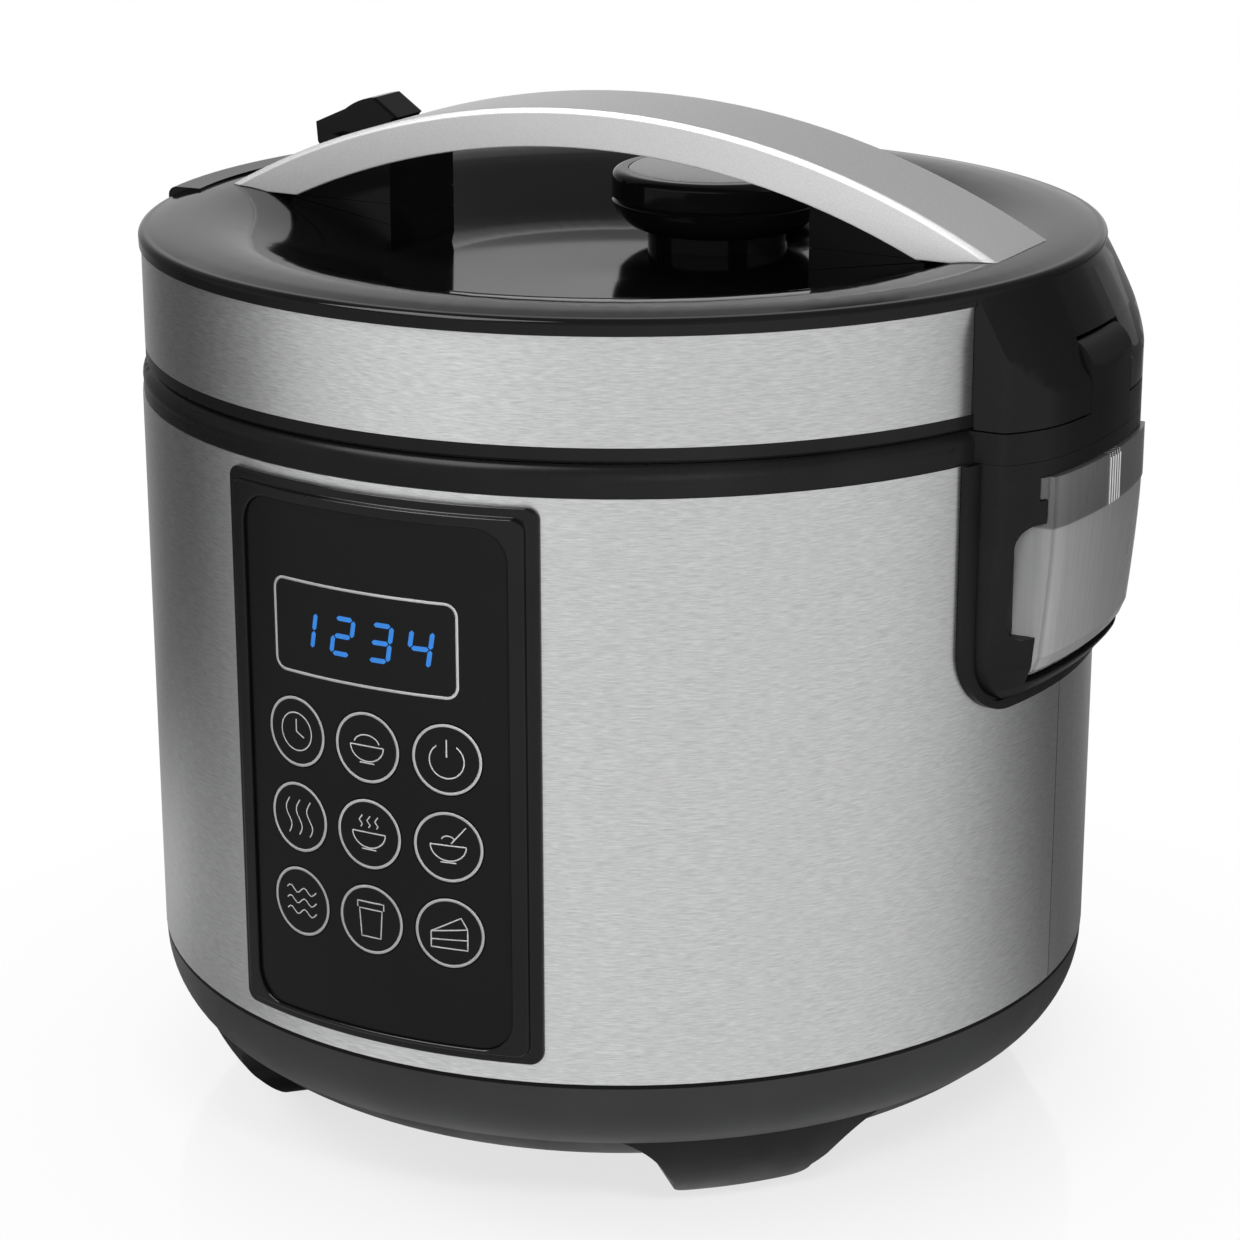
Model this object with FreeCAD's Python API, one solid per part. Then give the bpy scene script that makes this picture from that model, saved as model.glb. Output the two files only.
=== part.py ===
"""Round digital cooker with a yoghurt programme, as an assembly of separate pieces.

Millimetres. The pot's axis is vertical, the control panel faces -Y, the lid's hinge is at +X and its
latch at -X. At the end all pieces are shifted together, so that the origin lies under the middle of the
whole part, on the surface that it stands on.
"""
import FreeCAD
import Part
import math
import os

V = FreeCAD.Vector

# Clearances
run_gap = 0.05          # pin in its bore, on the radius
move_gap = 0.4          # between pieces that move past each other
seat_gap = 0.1          # between round pieces that stay together

# Heights, from the ground up
pad_t = 1.0             # rubber pad under a foot
foot_h = 14.2           # foot below the bottom cover
cover_rise = 9.3        # cover's slanted edge
ring_h = 18.9           # bowl-shaped base ring
wrap_h = 146.35         # steel wrapper
rim_h = 7.65            # black rim over the steel
part_gap = 0.4          # gap between rim and closed lid
lip_h = 3.7             # black lip under the lid's band
band_h = 25.9           # steel band of the lid
edge_h = 3.5            # black edge over the band

# Body
body_r = 125.0          # outside of the steel wrapper
sheet_t = 0.6           # steel sheet
ring_tuck = 7.2         # how far the base ring draws in at its lower edge
cover_tuck = 13.3       # how far the cover draws in below that
cover_t = 2.8           # bottom cover's wall
seam_w = 0.3            # slit of the sheet's seam
wall_space = 19.6       # room between the wrapper and the liner
liner_t = 0.8
pot_gap = 5.6           # room between the liner and the pot
pot_t = 1.5
pot_corner = 24.0       # radius of the pot's lower corner
flange_w = 10.5         # pot's flange beyond its wall
plate_lift = 34.6       # heating plate's top over the wrapper's lower edge
plate_t = 16.0
plate_inset = 21.0      # heating plate's edge inside the pot's
plate_leg_r = 5.0
sensor_r = 10.6

# Feet
foot_w = 36.0           # across the foot's lower end
foot_flare = 68.0       # across the foot where it leaves the base
foot_out = 98.0         # outer edge of the foot's lower end, from the axis
foot_deep = 14.0        # foot's lower end, towards the axis
foot_corner = 7.0       # round of the foot's lower corners

# Air slots under the base
slot_w = 3.0
slot_l = 26.0
slot_pitch = 7.0
slot_count = 7          # in each of four groups
slot_in = 44.0          # slots' inner ends from the axis

# Panel
panel_w = 85.2
panel_low = 5.1         # panel's lower edge over the wrapper's
panel_top = 2.25        # panel's upper edge under the wrapper's
panel_round = 3.0
lip_proud = 1.6         # panel's outer lip over the steel
frame_proud = 3.2       # panel's frame over the steel
lip_w = 2.4             # width of the outer lip
frame_w = 3.7           # width of the frame
film_round = 8.0
film_t = 1.3
film_sunk = 0.9         # film below the frame
floor_t = 2.6           # panel's floor behind the film
window_w = 51.8
window_h = 23.0
window_z = 103.4        # middle of the display over the panel's lower edge
key_d = 18.0
key_pitch_x = 0.2488 * panel_w      # along the curved face
key_pitch_z = 22.0
key_top_z = 76.6        # upper row over the panel's lower edge
key_travel = 0.5
key_stem_d = 6.0
board_back = 12.0       # board's back behind the wrapper's outside
board_t = 1.6
board_in = 8.6          # board's edges inside the panel's

# Hinge and dew cup
house_w = 84.0          # across the hinge housing
house_proud = 11.0      # front over the steel
house_bulge = 11.2      # from the front's middle back to its outer corners
bow_r = 150.0           # radius of the front's middle
bow_turn = 9.2          # degrees from its middle to the rounder flanks
house_h = 61.4          # housing below the rim's band
house_foot = 7.0        # how far the housing's lower edge rounds in
house_under = 9.0       # height of that round
house_draw = 3.8        # how far the housing's front draws in towards its lower edge
house_corner = 13.0     # housing's lower corners, seen from the front
house_ridge = 1.6       # round of the outer corners
lip_out = 4.4           # housing's lip on the steel, beyond its sides
lip_rise = 1.8
lip_groove = 0.8        # groove between the lip and the housing's side
cup_w = 61.0
cup_h = 52.0
cup_drop = 4.2          # cup's top under the rim's band
cup_t = 1.6
cup_depth = 18.6
cup_proud = 0.9         # cup's upper front over the housing
cup_draw = 3.3          # how far the cup's front draws in towards its lower edge
cup_corner = 4.5
cup_under = 6.0         # round under the cup's front
brow_h = 13.0           # thicker upper band of the cup's front
brow_t = 0.3
ear_w = 2.4             # ears beside the cup's upper edge
ear_h = 5.2
rib_count = 5           # grip ribs on the band's middle
rib_pitch = 1.6
rib_r = 0.5
scallop_h = 29.0        # finger recess beside the cup
scallop_w = 8.5
scallop_deep = 12.0
pin_r = 1.25
pin_l = 36.0
hinge_in = 3.2          # pin's axis inside the hinge leaves' front
hinge_up = 3.2          # pin's axis over the lid's lower edge
post_w = 26.0           # hinge post between the leaves
post_r = 14.4           # post's height over the pin's axis
leaf_slope = 14.0       # how far the leaves draw in up to the lid's edge
leaf_foot = 1.2         # foot of that slope over the lid's lower edge

# Lid
band_in = 1.1           # band inside the wrapper's outside
edge_in = 0.5           # black edge inside the wrapper's outside
lid_wall = 2.6
land_w = 29.0           # land between the lid's edge and the bowl
land_crown = 1.4
bowl_run = 31.5         # bowl's sloping wall, inwards
bowl_depth = 12.4
floor_dip = 2.5
hood_angle = 27.0       # latch hood, across
hood_proud = 1.6
hood_up = 2.0
hood_run = 9.0          # hood from its inner to its outer edge
gasket_w = 6.4
inner_lid_t = 1.2
inner_lid_dip = 5.5
inner_rim = 17.0        # inner lid's level rim
inner_slope = 6.0

# Handle
handle_w = 34.0
handle_in = 11.3        # handle's ends inside the lid's edge
handle_rise = 30.0      # top of the arch over the lid's edge
grip_rise = 20.0        # underside of the arch over the lid's edge
grip_in = 34.5          # where the underside meets the lid, inside the lid's edge
shell_top = 3.0
shell_side = 2.5
shell_bevel = 1.2
gap_in = 63.5           # end of the finger gap, inside the lid's edge
end_w = 32.0            # black ends under the handle
wedge_t = 5.6           # spacer at the finger gap

# Steam vent
vent_x = 4.0
vent_over = 10.5        # cap's rear edge beyond the bowl's level floor
vent_clear = 0.5        # between the cap and the handle
vent_cut = 8.5          # how far the cap draws in below
vent_lift = 2.2         # cap's lower edge over the bowl's level wall foot
vent_low_h = 8.4        # cap's lower ring
vent_top_h = 7.8        # cap's upper ring
collar_in = 1.2         # vent seat's collar inside the cap's lower edge
vent_disc_in = 4.5      # silver disc's edge inside the cap's
vent_disc_t = 1.5
tube_r = 9.5
tube_bore = 6.0
tube_up = 5.0           # tube's top over the cap's lower edge

# Release lever and latch
lever_w = 14.0
lever_y = 28.0
lever_in = 23.5         # lever's pivot inside the lid's edge
lever_up = 6.5          # lever's pivot over the lid's edge
lever_pin_r = 2.0
lever_tail = 7.8
lever_reach = 19.0
lever_top = 14.7
cheek_t = 2.6
bolt_w = 16.0
bolt_t = 2.5
bolt_travel = 2.5
bolt_l = 19.25

# Power inlet
inlet_w = 38.0
inlet_h = 26.0
inlet_z = 74.0
inlet_wall = 7.0
inlet_deep = 15.5
inlet_proud = 1.5

# Levels and radii that follow
cover_z = pad_t + foot_h
ring_z = cover_z + cover_rise
wrap_z0 = ring_z + ring_h
wrap_z1 = wrap_z0 + wrap_h
rim_z = wrap_z1 + rim_h
lid_z = rim_z + part_gap
band_z0 = lid_z + lip_h
band_z1 = band_z0 + band_h
top_z = band_z1 + edge_h
wrap_in_r = body_r - sheet_t
ring_low_r = body_r - ring_tuck
cover_r = ring_low_r - cover_tuck
liner_r = body_r - wall_space
pot_r = liner_r - liner_t - pot_gap
flange_r = pot_r + flange_w
plate_z = wrap_z0 + plate_lift
band_r = body_r - band_in
edge_r = body_r - edge_in
bowl_r = edge_r - land_w
bowl_low_r = bowl_r - bowl_run
bowl_z = top_z - bowl_depth
front_x = body_r + house_proud
hinge_x = front_x - hinge_in
hinge_z = lid_z + hinge_up
ledge_z = rim_z - 9.2
slot_r = body_r - 7.0
grip_half = edge_r - grip_in
gap_half = edge_r - gap_in
lever_x = edge_r - lever_in
board_w = panel_w - 2 * board_in
vent_r = (bowl_low_r + vent_over - handle_w / 2 - vent_clear) / 2
vent_y = handle_w / 2 + vent_clear + vent_r
vent_low_r = vent_r - vent_cut
vent_disc_r = vent_r - vent_disc_in


def at_rz(p):
    return V(p[0], 0, p[1])


def wire_of(place, start, *steps):
    """A closed wire of lines and of arcs given as (middle, end)."""
    edges = []
    here = start
    for step in steps + (start,):
        if isinstance(step[0], tuple):
            middle, end = step
            edges.append(Part.Arc(place(here), place(middle), place(end)).toShape())
        else:
            end = step
            if math.dist(here, end) < 1e-6:
                continue
            edges.append(Part.LineSegment(place(here), place(end)).toShape())
        here = end
    return Part.Wire(edges)


def revolved(start, *steps, axis=(0.0, 0.0)):
    """Turned solid from a profile of (radius, height)."""
    solid = Part.Face(wire_of(at_rz, start, *steps)).revolve(V(0, 0, 0), V(0, 0, 1), 360)
    solid.translate(V(axis[0], axis[1], 0))
    return solid


def ring(r0, r1, z0, z1):
    return revolved((r0, z0), (r1, z0), (r1, z1), (r0, z1))


def disc(r, z0, z1, x=0.0, y=0.0):
    return Part.makeCylinder(r, z1 - z0, V(x, y, z0))


def box(x0, x1, y0, y1, z0, z1):
    return Part.makeBox(x1 - x0, y1 - y0, z1 - z0, V(x0, y0, z0))


def across(y0, y1, start, *steps):
    """Profile of (x, z) drawn out along Y."""
    wire = wire_of(lambda p: V(p[0], y0, p[1]), start, *steps)
    return Part.Face(wire).extrude(V(0, y1 - y0, 0))


def upright(z0, z1, start, *steps):
    """Outline of (x, y) drawn up along Z."""
    wire = wire_of(lambda p: V(p[0], p[1], z0), start, *steps)
    return Part.Face(wire).extrude(V(0, 0, z1 - z0))


def plate_front(w, z0, z1, r, y0, y1, x=0.0):
    """Rounded rectangle facing -Y, from y0 to y1."""
    solid = box(x - w / 2, x + w / 2, y0, y1, z0, z1)
    corners = [e for e in solid.Edges if abs(e.Vertexes[0].Y - e.Vertexes[1].Y) > abs(y1 - y0) / 2]
    return solid.makeFillet(r, corners)


def turned(shape, degrees):
    copy = shape.copy()
    copy.rotate(V(0, 0, 0), V(0, 0, 1), degrees)
    return copy


def pin_y(r, x, z, y0, y1):
    return Part.makeCylinder(r, y1 - y0, V(x, y0, z), V(0, 1, 0))


def one(shape):
    """Clean a boolean result and return its single solid."""
    shape = shape.removeSplitter()
    if len(shape.Solids) != 1:
        raise ValueError("expected one solid, got %d" % len(shape.Solids))
    return shape.Solids[0]


parts = {}

# Base ring: a bowl-shaped moulding that carries the wrapper on a shoulder and the liner on a ledge.
spigot_r = wrap_in_r - seat_gap
ring_ledge_z = wrap_z0 + 3.0
ring_wall_r = ring_low_r - 7.5
ring_ledge_r = liner_r - 8.0
ring_belly = (body_r - 1.7, ring_z + 0.45 * ring_h)
base_ring = revolved(
    (ring_wall_r, ring_z), (ring_low_r, ring_z), (ring_belly, (body_r - 0.3, wrap_z0 - seat_gap)),
    (spigot_r, wrap_z0 - seat_gap), (spigot_r, wrap_z0 + 10), (spigot_r - 2.6, wrap_z0 + 10),
    (spigot_r - 2.6, ring_ledge_z), (ring_ledge_r, ring_ledge_z), (ring_ledge_r, ring_ledge_z - 2.6),
    (ring_wall_r, ring_ledge_z - 2.6))

# Bottom cover with four moulded feet that flare into the base.
cover_edge = (cover_r + 0.5 * cover_tuck, cover_z + 0.42 * cover_rise)
cover = revolved(
    (0, cover_z), (cover_r, cover_z), (cover_edge, (ring_low_r - 0.6, ring_z - seat_gap)),
    (ring_low_r - 5.2, ring_z - seat_gap), (cover_r - 1.5, cover_z + cover_t), (0, cover_z + cover_t))
foot_half = foot_w / 2
flare_half = foot_flare / 2
flare_z = ring_z - seat_gap
foot_round = foot_corner * (1 - math.sqrt(0.5))
waist = (foot_half + 0.2 * (flare_half - foot_half), pad_t + 0.48 * (flare_z - pad_t))
sweep = (foot_half + 0.44 * (flare_half - foot_half), pad_t + 0.72 * (flare_z - pad_t))
foot_side = wire_of(
    lambda p: V(p[0], -body_r, p[1]), (-foot_half + foot_corner, pad_t), (foot_half - foot_corner, pad_t),
    ((foot_half - foot_round, pad_t + foot_round), (foot_half, pad_t + foot_corner)), waist,
    (sweep, (flare_half, flare_z)), (-flare_half, flare_z),
    ((-sweep[0], sweep[1]), (-waist[0], waist[1])),
    (-foot_half, pad_t + foot_corner),
    ((-foot_half + foot_round, pad_t + foot_round), (-foot_half + foot_corner, pad_t)))
foot_blank = Part.Face(foot_side).extrude(V(0, body_r - foot_out + foot_deep, 0))
foot_form = revolved(
    (foot_out - foot_deep, pad_t), (foot_out, pad_t),
    ((foot_out + 0.62 * (ring_low_r - 0.6 - foot_out), pad_t + 0.42 * (ring_z - pad_t)),
     (ring_low_r - 0.6, ring_z - seat_gap)),
    (foot_out - foot_deep, ring_z - seat_gap))
foot = foot_blank.common(foot_form)
pad_w = foot_w - 2 * foot_corner - 1
pad_blank = plate_front(pad_w, 0, pad_t, pad_t * 0.45, -foot_out + 1, -foot_out + foot_deep - 1)
for n in range(4):
    turn = 45 + 90 * n
    cover = cover.fuse(turned(foot, turn))
    parts["foot_pad_%d" % (n + 1)] = turned(pad_blank, turn)
for n in range(4):
    for k in range(slot_count):
        x = slot_pitch * (k - (slot_count - 1) / 2)
        air_slot = box(x - slot_w / 2, x + slot_w / 2, -slot_in - slot_l, -slot_in, cover_z - 1,
                       cover_z + 2 * cover_t)
        cover = cover.cut(turned(air_slot, 90 * n))
parts["bottom_cover"] = one(cover)

# Panel: stepped frame, floor and face follow the cylinder of the body.
panel_z0 = wrap_z0 + panel_low
panel_z1 = wrap_z1 - panel_top
film_w = panel_w - 2 * (lip_w + frame_w)
film_z0 = panel_z0 + lip_w + 1.1
film_z1 = panel_z1 - lip_w - 2.6
face_r = body_r + frame_proud - film_sunk
film_in_r = face_r - film_t
plug_in = frame_w - 0.2
front_y = -body_r - 2 * frame_proud
rear_y = -body_r + wall_space


def on_face(r0, r1, w, z0, z1, r):
    """Curved plate of the panel between two radii."""
    return ring(r0, r1, z0 - 1, z1 + 1).common(plate_front(w, z0, z1, r, front_y, -body_r / 2))


lip = on_face(body_r + seat_gap, body_r + lip_proud, panel_w, panel_z0, panel_z1, panel_round)
frame_plate = on_face(body_r + seat_gap, body_r + frame_proud, panel_w - 2 * lip_w,
                      panel_z0 + lip_w, panel_z1 - lip_w, panel_round)
plug_w = panel_w - 2 * lip_w - 2 * plug_in
plug = on_face(film_in_r - floor_t, body_r + lip_proud, plug_w,
               panel_z0 + lip_w + plug_in, panel_z1 - lip_w - plug_in, panel_round)
bezel = lip.fuse(frame_plate).fuse(plug)
film_blank = on_face(film_in_r, face_r, film_w - 2 * seat_gap, film_z0 + seat_gap, film_z1 - seat_gap,
                     film_round)
bezel = bezel.cut(on_face(film_in_r, face_r + 5, film_w, film_z0, film_z1, film_round))
display_z = panel_z0 + window_z
bezel = bezel.cut(box(-window_w / 2 - 1, window_w / 2 + 1, front_y, rear_y,
                      display_z - window_h / 2 - 1, display_z + window_h / 2 + 1))

# Control board behind the panel, on four posts of the frame, with a switch behind each key.
board_y = -body_r + board_back
board_z0 = panel_z0 + 12
board_z1 = panel_z1 - 12
board = box(-board_w / 2, board_w / 2, board_y - board_t, board_y, board_z0, board_z1)
for x in (-board_w / 2 + 4, board_w / 2 - 4):
    for z in (board_z0 + 4, board_z1 - 4):
        post = Part.makeCylinder(3, body_r, V(x, board_y - board_t, z), V(0, -1, 0))
        bezel = bezel.fuse(post.common(disc(film_in_r - 0.5 * floor_t, panel_z0, panel_z1)))

# Display block on the board, just behind the film.
glass_y = -math.sqrt((film_in_r - seat_gap) ** 2 - (window_w / 2) ** 2)
parts["display_module"] = box(-window_w / 2, window_w / 2, glass_y, board_y - board_t,
                              display_z - window_h / 2, display_z + window_h / 2)

# Keys: round areas of the face that press in, each with a stem over its switch.
stem_r = film_in_r - floor_t - 3.4
switch_r = stem_r - key_travel - move_gap
key_root = film_in_r - 3 * floor_t
key_run = 6 * floor_t
film = film_blank
for row in range(3):
    for column in range(3):
        z = panel_z0 + key_top_z - key_pitch_z * row
        angle = math.degrees(key_pitch_x * (column - 1) / face_r)
        outward = V(math.sin(math.radians(angle)), -math.cos(math.radians(angle)), 0)
        foot_point = V(outward.x * stem_r, outward.y * stem_r, z)
        root = V(outward.x * key_root, outward.y * key_root, z)
        cap = Part.makeCylinder(key_d / 2, key_run, root, outward)
        hole = Part.makeCylinder(key_d / 2 + move_gap / 2, key_run, root, outward)
        cap_shell = ring(film_in_r - 1.2, face_r, z - key_d, z + key_d)
        stem = Part.makeCylinder(key_stem_d / 2, film_in_r - 0.6 - stem_r, foot_point, outward)
        parts["key_%d" % (3 * row + column + 1)] = one(cap.common(cap_shell).fuse(stem))
        film = film.cut(hole)
        bezel = bezel.cut(hole)
        switch_root = (-board_y + 0.4 * board_t) / math.cos(math.radians(angle))
        switch = Part.makeCylinder(key_stem_d / 2, switch_r - switch_root,
                                   V(outward.x * switch_root, outward.y * switch_root, z), outward)
        board = board.fuse(switch)
parts["panel_film"] = one(film)
parts["panel_bezel"] = one(bezel)
parts["control_board"] = one(board)

# Hinge housing, hinge band and leaves share one bowed outline: a flat middle arc and two rounder flanks.
root_y = house_w / 2
shoulder_x = front_x - house_bulge
bow_a = math.radians(bow_turn)
bow_out = (math.cos(bow_a), math.sin(bow_a))
meet = (front_x - bow_r * (1 - bow_out[0]), bow_r * bow_out[1])
to_corner = (shoulder_x - meet[0], root_y - meet[1])
flank_r = math.hypot(*to_corner) ** 2 / (-2 * (bow_out[0] * to_corner[0] + bow_out[1] * to_corner[1]))
flank_c = (meet[0] - flank_r * bow_out[0], meet[1] - flank_r * bow_out[1])
corner_a = math.atan2(root_y - flank_c[1], shoulder_x - flank_c[0])
ridge_a = corner_a - house_ridge / flank_r
flank_mid, ridge_0 = [(flank_c[0] + flank_r * math.cos(a), flank_c[1] + flank_r * math.sin(a))
                      for a in (0.5 * (bow_a + ridge_a), ridge_a)]
ridge_1 = (shoulder_x - house_ridge, root_y)
ridge_mid = (0.25 * (ridge_0[0] + ridge_1[0]) + 0.5 * shoulder_x,
             0.25 * (ridge_0[1] + ridge_1[1]) + 0.5 * root_y)


def bow_wire(back, z, inner_x):
    """Bowed outline at one height, with its front drawn back."""
    right = [(x - back, y) for x, y in (ridge_1, ridge_mid, ridge_0, flank_mid, meet)]
    left = [(x, -y) for x, y in right]
    return wire_of(lambda p: V(p[0], p[1], z), (inner_x, -root_y), left[0], (left[1], left[2]),
                   (left[3], left[4]), ((front_x - back, 0), right[4]), (right[3], right[2]),
                   (right[1], right[0]), (inner_x, root_y))


def bowed(back, z0, z1, inner_x):
    """Upright solid of the bowed outline."""
    return Part.Face(bow_wire(back, z0, inner_x)).extrude(V(0, 0, z1 - z0))


def apron(half, z0, z1, r, x0, x1):
    """Plate facing +X with rounded lower corners."""
    k = r * (1 - math.sqrt(0.5))
    wire = wire_of(lambda p: V(x0, p[0], p[1]), (-half, z1), (-half, z0 + r),
                   ((-half + k, z0 + k), (-half + r, z0)),
                   (half - r, z0), ((half - k, z0 + k), (half, z0 + r)), (half, z1))
    return Part.Face(wire).extrude(V(x1 - x0, 0, 0))


def drawn_levels(under, full):
    """Heights of a drawn front: close where it rounds under, then even up to the brow."""
    rise = (full - brow_h - under) / 6
    return [under * k for k in (0, 0.05, 0.2, 0.45)] + [under + rise * k for k in range(7)] + [full]


house_z1 = wrap_z1
house_z0 = house_z1 - house_h
house_back_x = front_x - cup_depth - cup_t - move_gap
far_x = front_x + cup_depth
cup_z1 = house_z1 - cup_drop
cup_z0 = cup_z1 - cup_h
cup_half = cup_w / 2
house_wires = []
for level in drawn_levels(house_under, house_h):
    draw = max(1 - level / (house_h - brow_h), 0)
    under = max(1 - level / house_under, 0)
    back = house_draw * draw ** 1.4 + house_foot * (1 - math.sqrt(1 - under ** 2))
    house_wires.append(bow_wire(back, house_z0 + level, house_back_x - 2))
housing = Part.makeLoft(house_wires, True, True)
housing = housing.common(apron(root_y, house_z0, house_z1, house_corner, 0, far_x))
inside = disc(body_r + seat_gap, 0, top_z)
back_box = box(house_back_x - 2, far_x, -cup_half - 3, cup_half + 3, cup_z0 - 3.4, house_z1)
housing = housing.cut(inside).fuse(housing.common(back_box))
lip_ring = ring(body_r + seat_gap, body_r + lip_rise, house_z0 - lip_out, house_z1)
house_lip = lip_ring.common(apron(root_y + lip_out, house_z0 - 0.6 * lip_out, house_z1,
                                  house_corner + lip_out,
                                  0.5 * body_r, far_x))
groove = ring(body_r + 0.5 * lip_rise, body_r + 2 * lip_rise, house_z0, house_z1 + 1).common(
    apron(root_y + lip_groove, house_z0 - lip_groove, house_z1 + 1, house_corner + lip_groove,
          0.5 * body_r, far_x))
housing = housing.fuse(house_lip.cut(groove).cut(back_box))
cup_room = box(house_back_x, far_x, -cup_half - move_gap, cup_half + move_gap, cup_z0 - move_gap,
               cup_z1 + move_gap)
ear_x = body_r + 2
ear_half = cup_half + ear_w
ear_room = box(ear_x - move_gap, far_x, -ear_half - move_gap, ear_half + move_gap,
               cup_z1 - ear_h - move_gap, cup_z1 + move_gap)
housing = housing.cut(cup_room).cut(ear_room)
scallop_z = (cup_z0 + cup_z1) / 2
scallop = plate_front(2 * scallop_w, -scallop_h / 2, scallop_h / 2, scallop_w * 0.6, 0, 3 * scallop_deep)
scallop.rotate(V(0, 0, 0), V(0, 0, 1), -90)
for side in (-1, 1):
    cutter = scallop.copy()
    cutter.translate(V(front_x - scallop_deep, side * cup_half, scallop_z))
    housing = housing.cut(cutter)
parts["hinge_housing"] = one(housing)

# Dew cup: drawn front that rounds under, a thicker band with grip ribs, and ears; open at the top.
cup_levels = drawn_levels(cup_under, cup_h)


def cup_loft(inset):
    """Cup's drawn form between its sides, set in by a wall all round except at the top."""
    wires = []
    for level in cup_levels:
        under = max(cup_under - level, 0)
        draw = max(1 - level / (cup_h - brow_h), 0)
        back = cup_under - math.sqrt(cup_under ** 2 - under ** 2) + cup_draw * draw ** 1.4
        top = inset if level == cup_h else 0
        wires.append(bow_wire(back - cup_proud + inset,
                              cup_z0 + inset + level * (1 - inset / cup_h) + top, 0))
    sides = apron(cup_half - inset, cup_z0 + inset, cup_z1 + inset, cup_corner,
                  house_back_x + move_gap + inset, far_x)
    return Part.makeLoft(wires, True, True).common(sides)


cup = cup_loft(0)
brow = bowed(-cup_proud - brow_t, cup_z1 - brow_h, cup_z1, house_back_x)
brow_side = box(ear_x, far_x, -cup_half, cup_half, cup_z1 - brow_h, cup_z1)
ears = bowed(0, cup_z1 - ear_h, cup_z1, house_back_x).common(
    box(ear_x, far_x, -ear_half, ear_half, cup_z1 - ear_h, cup_z1))
cup = cup.fuse(brow.common(brow_side)).fuse(ears).cut(cup_loft(cup_t))
for n in range(rib_count):
    rib_y = rib_pitch * (n - (rib_count - 1) / 2)
    rib_x = front_x + cup_proud + brow_t - bow_r + math.sqrt(bow_r ** 2 - rib_y ** 2)
    rib = disc(rib_r, cup_z1 - brow_h, cup_z1 - 1, rib_x - 0.3 * rib_r, rib_y)
    cup = cup.fuse(rib)
parts["dew_cup"] = one(cup)

# Upper rim: channel with the pot's ledge, the hinge band and post, and the latch pocket.
rim_out = body_r - 0.3
rim_in = flange_r + 2.5
rim_wall = 1.7
rim = revolved(
    (spigot_r, wrap_z1 - 6), (spigot_r, wrap_z1 + seat_gap), (rim_out, wrap_z1 + seat_gap),
    (rim_out, rim_z - 4.6), ((rim_out - 0.5, rim_z - 1.5), (rim_out - 2.0, rim_z)), (rim_in + 0.6, rim_z),
    (rim_in, rim_z - 0.6), (rim_in, ledge_z), (liner_r - 1.6, ledge_z), (liner_r - 1.6, ledge_z - 2.2),
    (rim_in + rim_wall, ledge_z - 2.2), (rim_in + rim_wall, rim_z - 3), (spigot_r - 2.6, rim_z - 3),
    (spigot_r - 2.6, wrap_z1 - 6))
rim = rim.cut(box(house_back_x - 2 - seat_gap, body_r, -cup_half - 3 - seat_gap, cup_half + 3 + seat_gap,
                  cup_z0, wrap_z1 + seat_gap))
block_x = shoulder_x - 16
block_z = wrap_z1 + seat_gap
block = box(block_x, far_x, -2 * root_y, 2 * root_y, block_z, rim_z)
cove_y = post_w / 2 + move_gap / 2
cove_end = cove_y + 14.5
cove_r = math.hypot(hinge_in - 0.56, hinge_up) + move_gap
for side in (-1, 1):
    block = block.cut(Part.makeCone(cove_r, hinge_up + move_gap, cove_end - cove_y,
                                    V(hinge_x, side * cove_y, hinge_z), V(0, side, 0)))
post = across(
    -post_w / 2, post_w / 2, (hinge_x - 8, block_z), (far_x, block_z), (far_x, hinge_z + 0.3 * post_r),
    (front_x, hinge_z + 0.3 * post_r), ((front_x - 1.4, hinge_z + 0.72 * post_r),
                                        (hinge_x - 1.8, hinge_z + post_r - 0.6)),
    ((hinge_x - 8.4, hinge_z + 0.74 * post_r), (hinge_x - post_r + 1.1, hinge_z + 0.3 * post_r)),
    (hinge_x - post_r + 1.1, rim_z - 1.5), (hinge_x - 8, rim_z - 1.5))
block = block.fuse(post).common(bowed(0, block_z, top_z, block_x)).cut(disc(spigot_r - 1, wrap_z1, rim_z))
block = block.cut(pin_y(pin_r + run_gap, hinge_x, hinge_z, -post_w, post_w))
pocket_half = bolt_w / 2 + 2
rim = rim.cut(box(-slot_r - bolt_t / 2 - 1.8, -slot_r + bolt_t / 2 + bolt_travel + 1.8,
                  -pocket_half, pocket_half, rim_z - 3.5, rim_z + 1))
rim = rim.fuse(block)
parts["upper_rim"] = one(rim)
parts["hinge_pin"] = pin_y(pin_r, hinge_x, hinge_z, -pin_l / 2, pin_l / 2)

# Power inlet at the back: a framed socket with three flat pins.
inlet_y = body_r + inlet_proud
inlet = box(-inlet_w / 2, inlet_w / 2, body_r - 12, inlet_y, inlet_z - inlet_h / 2, inlet_z + inlet_h / 2)
inlet = inlet.cut(disc(body_r + seat_gap, 0, top_z))
throat_w = inlet_w - 8
throat_h = inlet_h - 6
inlet_back = inlet_y - inlet_deep - 3
inlet = inlet.fuse(box(-throat_w / 2, throat_w / 2, inlet_back, inlet_y,
                       inlet_z - throat_h / 2, inlet_z + throat_h / 2))
inlet = inlet.cut(box(-inlet_w / 2 + inlet_wall, inlet_w / 2 - inlet_wall, inlet_y - inlet_deep,
                      inlet_y + 5,
                      inlet_z - throat_h / 2 + 2, inlet_z + throat_h / 2 - 2))
for x in (-inlet_w * 0.18, 0, inlet_w * 0.18):
    inlet = inlet.fuse(box(x - 1, x + 1, inlet_back + 1, inlet_y - 4,
                           inlet_z + throat_h / 2 - 6.8, inlet_z + throat_h / 2 - 3))
parts["power_inlet"] = one(inlet)

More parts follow.
